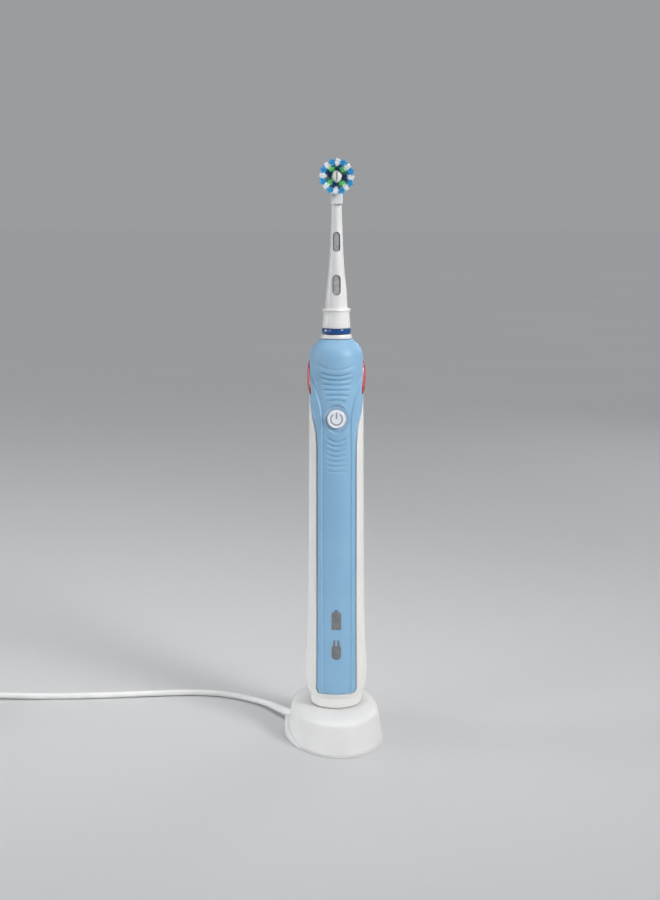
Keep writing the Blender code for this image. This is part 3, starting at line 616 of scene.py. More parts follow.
def makeTie():
    # a soft strap round the bundle
    inner, outer, bottom, top = 12.7, 25.3, 0.9, 7.4
    halfWidth, thickness, air, corner = 2.2, 0.7, 0.3, 2.4
    rings = []
    for grow in (air, air + thickness):
        x0, x1, z0, z1 = inner - grow, outer + grow, bottom - min(grow, 0.85), top + grow
        r = corner + grow
        corners = ((x1 - r, z0 + r, -90), (x1 - r, z1 - r, 0), (x0 + r, z1 - r, 90), (x0 + r, z0 + r, 180))
        loop = []
        for x, z, start in corners:
            loop += [(x + r * math.cos(math.radians(start + a)), z + r * math.sin(math.radians(start + a)))
                     for a in spread(0, 90, 9)]
        rings.append(loop)
    insideLoop, outsideLoop = rings
    sections = [[(x, y, z) for x, z in loop] for loop, y in
                ((outsideLoop, -halfWidth), (outsideLoop, halfWidth), (insideLoop, halfWidth),
                 (insideLoop, -halfWidth))]
    place = (Matrix.Translation(Vector((*cord["coilCentre"], 0)) * mm)
             @ Matrix.Rotation(math.radians(-25), 4, "Z"))
    tie = makeObject("tie_strap", loft(sections, closed=True), tieBlack, place=place)
    softenEdges(tie, 0.15)
    return finishPiece(tie, "charger", "black_plastic", "cord_tie")


def makePlug():
    rows = ((0, 2.5, 2.5), (3, 2.7, 2.65), (9, 3.4, 3.1), (14, 5.5, 4.6), (20, 12.0, 6.4), (25, 16.6, 6.8),
            (31, 17.5, 6.85), (33, 17.6, 6.85), (34.4, 17.35, 6.6), (35, 16.8, 6.1))
    width, height = readerOf(rows), readerOf(rows, 2)
    levels = spread(0, 33, 45) + [33.5, 34.0, 34.4, 34.7, 34.9, 35.0]
    rings = [oval(width(z), height(z), mixed(2.0, 2.8, smoothStep(z / 18)), z, 72) for z in levels]
    x, y, z = cord["plug"]
    place = facingFront(z, x, y)
    body = makeObject("plug_shell", loft(rings), plugWhite, place=place)
    finishPiece(body, "charger", "white_plastic", "plug_body")
    pins = []
    for name, side, node in (("left_pin", -1, "plug_pin_left"), ("right_pin", 1, "plug_pin_right")):
        profile = [(2.0, 34.6), (2.0, 44.9), (1.97, 45.0), (1.97, 52.3)]
        profile += [(1.97 * math.cos(a), 52.3 + 1.7 * math.sin(a)) for a in spread(0.2, 1.45, 7)]
        pin = makeObject(name, turned(profile, 40), nickel, plugWhite,
                         place=facingFront(z, x + 9.5 * side, y))
        for face in pin.data.polygons:
            face.material_index = 1 if face.center.y > (y - 44.95) * mm else 0
        pins.append(finishPiece(pin, "charger", "steel", node))
    return body, pins


cordPiece, cordLength = makeCord()
relief = makeStrainRelief()
tie = makeTie()
plugBody, plugPins = makePlug()
print("cord laid")


# the handle's outside, shared by its shell, grips and lights
handle = {
    "sections": ((17.2, 11.6, 12.5), (18.2, 11.9, 12.8), (20.0, 12.05, 12.95), (21.6, 12.2, 13.1),
                 (22.4, 12.55, 13.45), (23.3, 13.1, 14.0), (24.4, 13.55, 14.4), (26.5, 14.05, 14.9),
                 (30.0, 14.4, 15.3), (36.0, 14.3, 15.2), (44.0, 13.8, 14.8), (63.0, 13.2, 14.3),
                 (92.0, 12.75, 13.9), (143.0, 12.4, 13.5), (160.0, 12.25, 13.3), (175.0, 12.15, 13.0),
                 (180.0, 11.85, 12.6), (182.4, 11.25, 11.85), (184.2, 10.05, 10.5), (185.6, 8.5, 8.75),
                 (187.0, 6.95, 6.95)),
    "roundness": 2.2,
    # half widths of the blue panel; they step in at the foot of the pressure light
    "panelWidths": ((24.6, 7.9), (24.9, 8.6), (25.4, 9.05), (26.2, 9.35), (27.2, 9.5), (60.0, 9.3),
                    (138.6, 9.2), (143.9, 9.5), (146.5, 9.8), (149.1, 10.25), (151.6, 10.85), (154.4, 11.4),
                    (156.8, 11.75), (158.5, 12.0), (160.0, 12.14), (162.2, 12.2), (162.38, 11.48),
                    (165.0, 11.55), (170.0, 11.85), (175.0, 12.08), (177.0, 12.3)),
    "railWidths": ((24.6, 6.85), (140.0, 6.75), (151.3, 6.6), (154.8, 7.0), (158.5, 7.7), (163.3, 9.1),
                   (167.0, 10.1), (170.0, 11.0), (187.1, 11.2)),
    "seamAngle": math.radians(89.3), "gripBottom": 24.6, "gripTop": 187.0, "gripThickness": 1.35,
    "shellRecess": 1.4, "shellInside": 2.7, "lightBottom": 162.4, "lightTop": 177.3,
    "buttonHeight": 152.4, "bezelRadius": 5.85, "batteryHeight": 60.0, "chargeHeight": 46.0,
}
handleWidth, handleDepth = readerOf(handle["sections"]), readerOf(handle["sections"], 2)
panelWidth, railWidth = readerOf(handle["panelWidths"]), readerOf(handle["railWidths"])


def onHandle(z, angle, inset=0.0):
    # a point on the handle; the angle runs from the front towards +X
    s, c = math.sin(angle), math.cos(angle)
    power = 2 / handle["roundness"]
    return ((handleWidth(z) - inset) * math.copysign(abs(s) ** power, s),
            -(handleDepth(z) - inset) * math.copysign(abs(c) ** power, c), z)


def angleOf(z, x):
    share = min(0.9999, x / handleWidth(z))
    return math.asin(share ** (handle["roundness"] / 2))


def panelAngle(z):
    return min(handle["seamAngle"], angleOf(z, panelWidth(z)))


def railAngle(z):
    return min(panelAngle(z) - 0.12, angleOf(z, railWidth(z)))


# handle shell
shell = {"gap": 0.16, "lip": 0.3}


def shellRing(z, gripInset, sideInset):
    width = handleWidth(z)
    edge = panelAngle(z) + shell["gap"] / width
    roll = shell["lip"] / width
    ring = []
    for facing in (0.0, math.pi):
        ring += [onHandle(z, facing + a, gripInset) for a in spread(-edge, edge, 33)]
        drop = min(0.12, gripInset) if sideInset < gripInset else 0.0
        stretch = [(edge + roll * 0.1, drop * 1.6), (edge + roll * 0.4, drop * 0.6)]
        stretch += [(a, 0.0) for a in spread(edge + roll, math.pi - edge - roll, 19)]
        stretch += [(math.pi - edge - roll * 0.4, drop * 0.6), (math.pi - edge - roll * 0.1, drop * 1.6)]
        ring += [onHandle(z, facing + a, sideInset + extra) for a, extra in stretch]
    return ring


def makeHandleShell():
    recess, inside = handle["shellRecess"], handle["shellInside"]
    rings = [shellRing(17.2, 0.5, 0.5), shellRing(17.3, 0.22, 0.22), shellRing(17.55, 0.05, 0.05)]
    rings += [shellRing(z, 0.0, 0.0) for z in spread(17.9, 24.1, 18)]
    rings += [shellRing(24.28, 0.04, 0.0), shellRing(24.38, 0.14, 0.0), shellRing(24.42, recess, 0.0)]
    rings += [shellRing(z, recess, 0.0) for z in spread(24.9, 44.0, 28) + spread(45.5, 161.2, 79)]
    rings += [shellRing(161.8, recess, 0.0), shellRing(162.0, recess, 0.06), shellRing(162.1, recess, 0.2),
              shellRing(162.12, recess, recess)]
    shoulder = spread(163.0, 180.0, 10) + [181.5, 182.6, 183.6, 184.6, 185.8]
    rings += [shellRing(z, recess, recess) for z in shoulder]
    count = len(rings[0])
    neck = ((5.5, 186.9), (5.2, 187.0), (3.6, 187.0), (3.6, 178.0), (5.2, 178.0), (5.2, 184.0))
    rings += [circle(radius, z, count) for radius, z in neck]
    rings += [shellRing(z, inside, inside)
              for z in (183.6, 180.0, 160.0, 126.0, 92.0, 63.0, 44.0, 36.0, 30.0, 24.0, 17.2)]
    obj = makeObject("shell", loft(rings, closed=True), shellWhite)
    openings = ((slot(5.8, 5.8), "buttonHeight"), (box(3.0, 7.6), "batteryHeight"),
                (box(3.0, 7.0), "chargeHeight"))
    cuts = [("DIFFERENCE", placed(slab(outline, 6, 16), facingFront(handle[height])))
            for outline, height in openings]
    carve(obj, cuts)
    return finishPiece(obj, "handle", "white_plastic", "handle_shell")


makeHandleShell()
print("handle shell made")

# soft grips
grip = {
    "stripDepth": 0.52, "wall": 0.36, "edgeRoll": 0.38, "stripFade": (168.0, 173.5), "grooveWidth": 0.5,
    "bandDrop": 0.75, "bead": 0.14, "beadWidth": 0.3, "bandFade": (146.0, 157.0),
    # above the button: height, half width, rise of the ends, depth
    "upperGrooves": ((174.2, 9.5, 2.7, 0.2), (171.4, 7.2, 1.3, 0.64), (169.3, 6.9, 1.0, 0.66),
                     (167.2, 6.5, 0.45, 0.66), (165.0, 6.2, 0.05, 0.64), (162.8, 5.3, -0.3, 0.6),
                     (160.6, 4.1, -0.7, 0.58)),
    "lowerTop": 141.9, "lowerStep": 2.24, "lowerRise": (2.0, 0.4), "lowerCount": 7, "lowerHalfWidth": 4.6,
    "lowerDepth": 0.6,
    "backTop": 142.0, "backStep": 3.1, "backCount": 26,
}


def grooveDepth(z, x, middle, halfWidth, rise, depth):
    line = middle + rise * (x / halfWidth) ** 2
    across = math.exp(-((z - line) / grip["grooveWidth"]) ** 2)
    return depth * across * smoothStep((halfWidth * 1.12 - abs(x)) / (0.45 * halfWidth))


def frontRelief(z, x):
    total = sum(grooveDepth(z, x, *groove) for groove in grip["upperGrooves"] if abs(z - groove[0]) < 5)
    for k in range(grip["lowerCount"]):
        middle = grip["lowerTop"] - k * grip["lowerStep"]
        if abs(z - middle) < 3:
            depth = grip["lowerDepth"] * (1 - 0.09 * k)
            rise = mixed(*grip["lowerRise"], k / (grip["lowerCount"] - 1))
            total += grooveDepth(z, x, middle, grip["lowerHalfWidth"], rise, depth)
    # a slight rim around the button's seat
    reach = math.hypot(x, z - handle["buttonHeight"])
    return total - 0.1 * smoothStep((7.2 - reach) / 1.2)


def backRelief(z, x):
    total = 0.0
    for k in range(grip["backCount"]):
        middle = grip["backTop"] - k * grip["backStep"]
        if abs(z - middle) < 3:
            total += grooveDepth(z, x, middle, 5.4, -1.1, 0.34)
    return total


def gripInset(z, angle, relief):
    rail, edge, width = railAngle(z), panelAngle(z), handleWidth(z)
    x = onHandle(z, angle)[0]
    fade = 1 - smoothStep((z - grip["stripFade"][0]) / (grip["stripFade"][1] - grip["stripFade"][0]))
    strip = smoothStep((rail - abs(angle)) * width / grip["wall"] * 0.5 + 0.5) * fade
    roll = grip["edgeRoll"] if z < 176 else mixed(grip["edgeRoll"], 0.12, smoothStep((z - 176) / 3))
    inset = grip["stripDepth"] * strip + relief(z, x)
    # the bands beside the strip fall away towards the shell
    low, high = grip["bandFade"]
    band = clamp((abs(angle) - rail) / (edge - rail)) * (1 - smoothStep((z - low) / (high - low)))
    inset += grip["bandDrop"] * band
    crest = ((abs(angle) - rail) * width - grip["wall"]) / grip["beadWidth"]
    inset -= grip["bead"] * math.exp(-crest * crest) * fade
    for distance in ((edge - abs(angle)) * width, z - handle["gripBottom"], handle["gripTop"] - z):
        if distance < roll:
            inset += roll - math.sqrt(max(0.0, roll ** 2 - (roll - distance) ** 2))
    return inset


def gripAngles(z):
    rail, edge, width = railAngle(z), panelAngle(z), handleWidth(z)
    wall, roll = 0.62 * grip["wall"] / width, grip["edgeRoll"] / width
    half = spread(0, rail - wall, 21) + spread(rail - wall, rail + wall, 7)[1:]
    half += spread(rail + wall, edge - roll, 9)[1:]
    half += [edge - roll * (1 - math.sin(a)) for a in spread(0, math.pi / 2, 5)][1:]
    return [-a for a in reversed(half[1:])] + half


def gripLevels():
    low, top = handle["gripBottom"], handle["gripTop"]
    roll = grip["edgeRoll"]
    levels = [low + roll * (1 - math.cos(a)) for a in spread(0, math.pi / 2, 6)]
    levels += spread(26.0, 126.0, 68) + spread(126.5, 144.0, 86) + spread(144.6, 158.0, 26)
    levels += spread(158.2, 178.0, 100) + spread(178.6, top - 0.3, 18)
    return levels + [top - 0.15, top - 0.05, top]


def makeGrip(name, facing, relief, node, cuts):
    levels = []
    for z in gripLevels():
        angles = gripAngles(z)
        levels.append(([onHandle(z, facing + a, gripInset(z, a, relief)) for a in angles],
                       [onHandle(z, facing + a, handle["gripThickness"]) for a in angles]))
    obj = makeObject(name, thickSheet(levels), gripBlue, sharp=50)
    if cuts:
        carve(obj, cuts, 50)
    return finishPiece(obj, "handle", "blue_rubber", node)


def batteryOutline(grow=0.0):
    w, shoulder, cap, cut = 2.15 + grow, 3.45 + grow, 0.85 + grow, 0.4
    low = top = 4.6 + grow
    side = [(w, -low), (w, shoulder - cut), (w - cut, shoulder), (cap, shoulder), (cap, top)]
    return [(-w, -low), *side, *[(-x, y) for x, y in reversed(side[1:])]]


def plugOutline(grow=0.0):
    w = 2.15 + grow
    cup = [(w * math.cos(a), -2.6 + w * math.sin(a)) for a in spread(math.pi, math.tau, 25)]
    prongs = [(w, 0.9 + grow), (1.4 + grow, 1.7 + grow), (1.35 + grow, 4.1 + grow), (1.15, 4.4 + grow),
              (0.75, 4.4 + grow), (0.55 - grow, 4.1 + grow), (0.5 - grow, 1.75 + grow)]
    return cup + prongs + [(-x, y) for x, y in reversed(prongs)]


def gripCuts():
    bezel = handle["bezelRadius"]
    rim = ((0.0, 8.0), (0.0, 12.2), (0.1, 12.36), (0.4, 12.62), (0.75, 12.82), (1.3, 13.0), (2.2, 18.0))
    seat = turned([(bezel + out, z) for out, z in rim], 96)
    openings = ((seat, "buttonHeight"), (slab(batteryOutline(0.07), 10, 18), "batteryHeight"),
                (slab(plugOutline(0.07), 10, 18), "chargeHeight"))
    return [("DIFFERENCE", placed(tool, facingFront(handle[height]))) for tool, height in openings]


makeGrip("front_panel", 0.0, frontRelief, "front_grip", gripCuts())
makeGrip("back_panel", math.pi, backRelief, "back_grip", None)
print("grips made")


# icon lenses, flush in the front grip
def makeIcon(name, outline, height, node):
    front = handleDepth(height) - grip["stripDepth"]
    obj = makeObject(name, slab(outline(), front - 0.9, front - 0.03), iconGrey, place=facingFront(height))
    softenEdges(obj, 0.06)
    return finishPiece(obj, "handle", "grey_lens", node)


makeIcon("battery_icon", batteryOutline, handle["batteryHeight"], "battery_lens")
makeIcon("plug_icon", plugOutline, handle["chargeHeight"], "charge_lens")


# pressure lights at the two sides
def makeLight(name, facing, node):
    low, high = handle["lightBottom"], handle["lightTop"]
    thickness, bulge, roll = handle["gripThickness"], 1.05, 0.25
    levels = [low + 0.02, low + 0.12] + spread(low + 0.35, high - 0.35, 30) + [high - 0.12, high - 0.02]
    rows = []
    for z in levels:
        first = panelAngle(z) + shell["gap"] / handleWidth(z)
        angles = spread(first, math.pi - first, 21)
        along = (z - low) / (high - low)
        outer = []
        for k, a in enumerate(angles):
            share = k / (len(angles) - 1)
            proud = bulge * math.sin(math.pi * along) ** 0.55 * math.sin(math.pi * share) ** 0.7
            edge = min(z - low, high - z, share * 4, (1 - share) * 4)
            sink = roll - math.sqrt(max(0.0, roll ** 2 - (roll - edge) ** 2)) if edge < roll else 0.0
            outer.append(onHandle(z, facing + a, sink - proud))
        rows.append((outer, [onHandle(z, facing + a, thickness) for a in angles]))
    return finishPiece(makeObject(name, thickSheet(rows), lensRed), "handle", "red_lens", node)


makeLight("right_light", 0.0, "pressure_light_right")
makeLight("left_light", math.pi, "pressure_light_left")
print("lights made")

# power button
button = {"radius": 4.15, "front": 13.62, "dish": 0.16, "iconRadius": 2.6, "iconLine": 0.75, "gap": 36}


def makeButton():
    r, front = button["radius"], button["front"]
    profile = [(2.2, 10.9), (2.2, 12.6), (r - 0.25, 12.6), (r - 0.06, 12.66), (r, 12.85), (r, front - 0.5)]
    profile += [(r - 0.45 * (1 - math.cos(a)), front - 0.5 + 0.5 * math.sin(a))
                for a in spread(0.25, 1.5708, 6)]
    profile += [(x, front - button["dish"] * (1 - (x / 3.6) ** 2)) for x in (3.2, 2.6, 2.0, 1.4, 0.8, 0.3)]
    place = facingFront(handle["buttonHeight"])
    obj = makeObject("start_button", turned(profile, 96), buttonWhite, place=place)
    finishPiece(obj, "button", "white_plastic", "power_button")
    # a generic power sign: an open ring and a bar, let into the button
    half = button["iconLine"] / 2
    start = math.radians(90 + button["gap"])
    angles = spread(start, start + math.tau - 2 * math.radians(button["gap"]), 49)
    ring = []
    for side, turns in ((half, angles), (-half, reversed(angles))):
        radius = button["iconRadius"] + side
        ring += [(radius * math.cos(a), radius * math.sin(a)) for a in turns]
    low, high = front - 0.5, front - 0.055
    sign = slab(ring, low, high)
    bar = slab(box(button["iconLine"], 3.0, (0, 1.65)), low, high + 0.01)
    barMesh = bpy.data.meshes.new("bar")
    bar.to_mesh(barMesh)
    bar.free()
    sign.from_mesh(barMesh)
    icon = makeObject("power_sign", sign, powerGrey, place=place)
    finishPiece(icon, "button", "grey_lens", "power_button")
    seal = [(4.35, 11.8), (5.8, 11.8), (5.8, 12.26), (5.5, 12.3), (5.1, 12.18), (4.7, 12.2), (4.45, 12.3),
            (4.35, 12.28)]
    ring = makeObject("button_ring", turned(seal, 96, closed=True), sealBlue, place=place)
    finishPiece(ring, "handle", "grey_rubber", "button_seal")


makeButton()

# neck of the handle
def makeNeck():
    collar = [(3.9, 187.25), (6.75, 187.25), (6.9, 187.35), (6.92, 187.6), (6.75, 188.7), (6.62, 189.0),
              (6.45, 189.1), (3.9, 189.1)]
    piece = makeObject("collar", turned(collar, 96, closed=True), stemWhite)
    finishPiece(piece, "handle", "white_plastic", "neck_collar")
    seal = [(1.75, 184.3), (3.3, 184.3), (3.3, 188.6), (3.1, 188.9), (2.4, 189.0), (2.1, 189.5), (1.8, 189.6),
            (1.75, 189.2)]
    piece = makeObject("shaft_gaiter", turned(seal, 64, closed=True), rubberBlack)
    finishPiece(piece, "handle", "black_rubber", "shaft_seal")


makeNeck()
print("button and neck made")

# brush head: barrel, stem, cup and ring
head = {
    "centre": 258.0,
    "outline": ((191.9, 6.05, 6.05), (192.2, 6.2, 6.2), (192.8, 6.22, 6.22), (196.0, 6.0, 6.0),
                (198.6, 5.8, 5.8), (199.1, 5.85, 5.85), (199.5, 6.25, 6.25), (199.9, 6.38, 6.38),
                (200.25, 6.3, 6.3), (200.45, 5.9, 5.9), (200.6, 5.2, 5.3), (201.2, 4.92, 5.05),
                (207.0, 4.7, 4.9), (215.0, 3.85, 4.3), (225.0, 3.1, 3.7), (236.0, 2.65, 3.25),
                (246.0, 2.4, 3.0), (253.5, 2.4, 3.0)),
    # width, height and middle of each; the dark rim and the grey sheet, both painted shade, lie in the opening
    "windows": ((3.3, 8.9, 229.9), (3.7, 9.3, 210.9)), "windowRim": 0.34, "shadePaneDepth": 0.42,
}


def makeStem():
    width, depth = readerOf(head["outline"]), readerOf(head["outline"], 2)
    levels = spread(191.9, 192.8, 6) + spread(193.5, 198.4, 8)
    levels += spread(198.6, 201.2, 26) + spread(202, 253.5, 50)
    rings = [oval(width(z), depth(z), 2.0, z, 72) for z in levels]
    stem = makeObject("stem", loft(rings), stemWhite)
    place = facingFront(head["centre"])
    cup = turned(((4.2, -4.05), (5.0, -3.95), (5.7, -3.6), (6.15, -3.1), (6.4, -2.5), (6.4, 3.3), (6.3, 3.55),
                  (6.1, 3.6)), 96)
    block = bmesh.new()
    bmesh.ops.create_cube(block, size=1.0)
    bmesh.ops.scale(block, verts=block.verts, vec=Vector((5.3, 4.0, 4.4)) * mm)
    bmesh.ops.bevel(block, geom=list(block.edges), offset=0.45 * mm, segments=4, affect="EDGES", profile=0.6)
    bmesh.ops.translate(block, verts=block.verts, vec=Vector((0, -2.5, 248.6)) * mm)
    bore = turned(((4.95, 191.0), (4.95, 199.2), (3.75, 199.6), (3.75, 207.6), (1.8, 209.5), (1.8, 256.0)), 64)
    cavity = turned(((5.6, -2.6), (5.6, 3.0), (5.8, 5.0)), 96)
    tools = [("UNION", placed(cup, place)), ("UNION", block), ("DIFFERENCE", bore),
             ("DIFFERENCE", placed(cavity, place))]
    for across, tall, z in head["windows"]:
        window = slab(slot(across - 0.5, tall - 0.5), 0.5, 8.0)
        tools.append(("DIFFERENCE", placed(window, facingFront(z))))
    carve(stem, tools, 30)
    finishPiece(stem, "head", "white_plastic", "head_stem")
    # a slim dark rim of painted shade round each window, with a glossy grey sheet of painted shade set back in
    # it for the shaded inside
    rim, sunk = 2 * head["windowRim"], head["shadePaneDepth"]
    shadeRimRows = ((0.0, 1.1), (0.0, 0.16), (0.1, 0.06), (rim - 0.14, 0.06), (rim, 0.18), (rim, 1.1))
    shadePaneRows = ((rim, 1.2), (rim, sunk + 0.12), (rim + 0.3, sunk + 0.03), (rim + 1.0, sunk))
    for k, (across, tall, z) in enumerate(head["windows"]):
        front = depth(z) - 0.04
        for name, rows, closed, material, sharp in (("window_shade_rim", shadeRimRows, True, rimShadeGrey, 35),
                                                    ("window_shade_pane", shadePaneRows, False, paneShadeGrey, 60)):
            rings = [[(x, y, front - inset) for x, y in slot(across - narrow, tall - narrow)]
                     for narrow, inset in rows]
            piece = makeObject(f"{name}_{k + 1}", loft(rings, closed), material,
                               place=facingFront(z), sharp=sharp)
            finishPiece(piece, "head", "white_plastic", "head_stem")


def makeColourRing():
    ring = ((4.6, 189.45), (6.3, 189.45), (6.48, 189.55), (6.56, 189.75), (6.58, 190.4), (6.56, 191.25),
            (6.46, 191.5), (6.25, 191.6), (4.6, 191.6))
    piece = makeObject("head_ring", turned(ring, 96, closed=True), ringNavy)
    finishPiece(piece, "head", "navy_plastic", "colour_ring")


def makeShaft():
    profile = ((1.2, 130.4), (1.45, 130.6), (1.5, 130.8), (1.5, 199.0), (1.3, 199.3), (1.3, 200.1),
               (1.5, 200.4), (1.5, 202.6), (1.4, 203.0), (1.1, 203.4), (0.8, 203.5))
    piece = makeObject("shaft", turned(profile, 48), steel)
    finishPiece(piece, "shaft", "steel", "drive_shaft")


makeStem()
makeColourRing()
makeShaft()
print("head made")

# round brush: disc, hub, and tufts of filaments made by Geometry Nodes
brush = {
    "seatHeight": 5.5, "filaments": 80, "filamentRadius": 0.13,
    "outer": {"ring": 5.35, "depth": 1.0, "width": 1.06, "length": 9.0, "flare": 1.3},
    "white": {"ring": 5.1, "depth": 1.3, "width": 0.92, "length": 8.6, "flare": 1.0},
    "inner": {"ring": 3.4, "depth": 0.72, "width": 1.0, "length": 8.3, "flare": 0.55},
    "greenAngles": (45, 119, 216, 303), "navyAngles": (78, 357, 254, 162),
}


def makeTuftTree():
    tree = bpy.data.node_groups.new("tuftField", "GeometryNodeTree")
    face = tree.interface
    face.new_socket("Geometry", in_out="OUTPUT", socket_type="NodeSocketGeometry")
    face.new_socket("Geometry", in_out="INPUT", socket_type="NodeSocketGeometry")
    for label, kind, value in (
            ("Filaments", "Int", 40), ("Filament Radius", "Float", 0.0001), ("Length", "Float", 0.008),
            ("Tuft Depth", "Float", 0.001), ("Tuft Width", "Float", 0.001), ("Flare", "Float", 0.001),
            ("Lean", "Float", 0.0005), ("Seed", "Int", 1), ("Material", "Material", None)):
        socket = face.new_socket(label, in_out="INPUT", socket_type="NodeSocket" + kind)
        if value is not None:
            socket.default_value = value
    given, made = tree.nodes.new("NodeGroupInput"), tree.nodes.new("NodeGroupOutput")

    def node(kind, **links):
        new = tree.nodes.new(kind)
        for label, value in links.items():
            give(tree, new.inputs[label.replace("_", " ")], value)
        return new

    def sums(operation, *values):
        return mathNode(tree, operation, *values)

    def vector(x=0.0, y=0.0, z=0.0):
        return node("ShaderNodeCombineXYZ", X=x, Y=y, Z=z).outputs[0]

    def vectorSum(operation, first, second=None, scale=None):
        new = tree.nodes.new("ShaderNodeVectorMath")
        new.operation = operation
        give(tree, new.inputs[0], first)
        give(tree, new.inputs[1], second)
        if scale is not None:
            give(tree, new.inputs["Scale"], scale)
        return new.outputs[0]

    # filaments stand on a sunflower spiral inside each tuft
    index = node("GeometryNodeInputIndex").outputs[0]
    filled = sums("SQRT", sums("DIVIDE", sums("ADD", index, 0.5), given.outputs["Filaments"]))
    goldenAngle = 2.39996
    turn = sums("MULTIPLY", index, goldenAngle)
    spotX = sums("MULTIPLY", sums("MULTIPLY", filled, sums("COSINE", turn)), given.outputs["Tuft Depth"])
    spotY = sums("MULTIPLY", sums("MULTIPLY", filled, sums("SINE", turn)), given.outputs["Tuft Width"])
    spots = node("GeometryNodePoints", Count=given.outputs["Filaments"], Position=vector(spotX, spotY))
    rod = node("GeometryNodeMeshCylinder", Radius=given.outputs["Filament Radius"],
               Depth=given.outputs["Length"])
    rod.inputs["Vertices"].default_value = 6
    rod.inputs["Side Segments"].default_value = 5
    stood = node("GeometryNodeTransform", Geometry=rod.outputs["Mesh"],
                 Translation=vector(z=sums("MULTIPLY", given.outputs["Length"], 0.5)))

    # each filament ends in a round tip
    place = node("GeometryNodeInputPosition").outputs[0]
    parts = node("ShaderNodeSeparateXYZ", Vector=place)
    up = sums("DIVIDE", parts.outputs["Z"], given.outputs["Length"])
    taper = sums("SUBTRACT", 1.0, sums("MULTIPLY", sums("GREATER_THAN", up, 0.999), 0.45))
    tipped = node("GeometryNodeSetPosition", Geometry=stood.outputs[0],
                  Position=vector(sums("MULTIPLY", parts.outputs["X"], taper),
                                  sums("MULTIPLY", parts.outputs["Y"], taper), parts.outputs["Z"]))

    def randomVector(low, high, offset):
        new = tree.nodes.new("FunctionNodeRandomValue")
        new.data_type = "FLOAT_VECTOR"
        new.inputs[0].default_value = low
        new.inputs[1].default_value = high
        tree.links.new(sums("ADD", given.outputs["Seed"], offset), new.inputs["Seed"])
        return new.outputs[0]

    wobble = randomVector((-0.035, -0.035, 0), (0.035, 0.035, 1.0), 1)
    size = randomVector((0.95, 0.95, 0.955), (1.05, 1.05, 1.0), 2)
    tuft = node("GeometryNodeInstanceOnPoints", Points=spots.outputs[0], Instance=tipped.outputs[0],
                Rotation=wobble, Scale=size)
    solidTuft = node("GeometryNodeRealizeInstances", Geometry=tuft.outputs[0])

    # the tufts stand on the seats, turned to face outwards, and keep their seat as an attribute
    seats = tree.nodes.new("GeometryNodeMeshToPoints")
    tree.links.new(given.outputs["Geometry"], seats.inputs["Mesh"])
    store = tree.nodes.new("GeometryNodeStoreNamedAttribute")
    store.data_type = "FLOAT_VECTOR"
    store.domain = "POINT"
    store.inputs["Name"].default_value = "seat"
    tree.links.new(seats.outputs[0], store.inputs["Geometry"])
    tree.links.new(place, store.inputs["Value"])
    seatParts = node("ShaderNodeSeparateXYZ", Vector=place)
    bearing = sums("ARCTAN2", seatParts.outputs["Y"], seatParts.outputs["X"])
    field = node("GeometryNodeInstanceOnPoints", Points=store.outputs[0], Instance=solidTuft.outputs[0],
                 Rotation=vector(z=bearing))
    solid = node("GeometryNodeRealizeInstances", Geometry=field.outputs[0])

    # lean sideways and flare outwards, more towards the tips
    seat = tree.nodes.new("GeometryNodeInputNamedAttribute")
    seat.data_type = "FLOAT_VECTOR"
    seat.inputs["Name"].default_value = "seat"
    seatSpot = seat.outputs[0]
    flatSeat = vectorSum("MULTIPLY", seatSpot, (1.0, 1.0, 0.0))
    outward = vectorSum("NORMALIZE", flatSeat)
    sideways = vectorSum("CROSS_PRODUCT", outward, (0.0, 0.0, -1.0))
    foot = node("ShaderNodeSeparateXYZ", Vector=seatSpot).outputs["Z"]
    rise = sums("DIVIDE", sums("SUBTRACT", parts.outputs["Z"], foot), given.outputs["Length"])
    bend = sums("POWER", sums("MAXIMUM", rise, 0.0), 1.35)
    out = vectorSum("SCALE", outward, scale=sums("MULTIPLY", bend, given.outputs["Flare"]))
    side = vectorSum("SCALE", sideways, scale=sums("MULTIPLY", rise, given.outputs["Lean"]))
    # the tips fan apart from the middle of their tuft
    apart = vectorSum("SUBTRACT", vectorSum("MULTIPLY", place, (1.0, 1.0, 0.0)), flatSeat)
    fan = vectorSum("SCALE", apart, scale=sums("MULTIPLY", bend, 0.28))
    moved = node("GeometryNodeSetPosition", Geometry=solid.outputs[0],
                 Offset=vectorSum("ADD", vectorSum("ADD", out, side), fan))
    dyed = node("GeometryNodeSetMaterial", Geometry=moved.outputs[0], Material=given.outputs["Material"])
    tree.links.new(dyed.outputs[0], made.inputs[0])
    return tree


tuftTree = makeTuftTree()


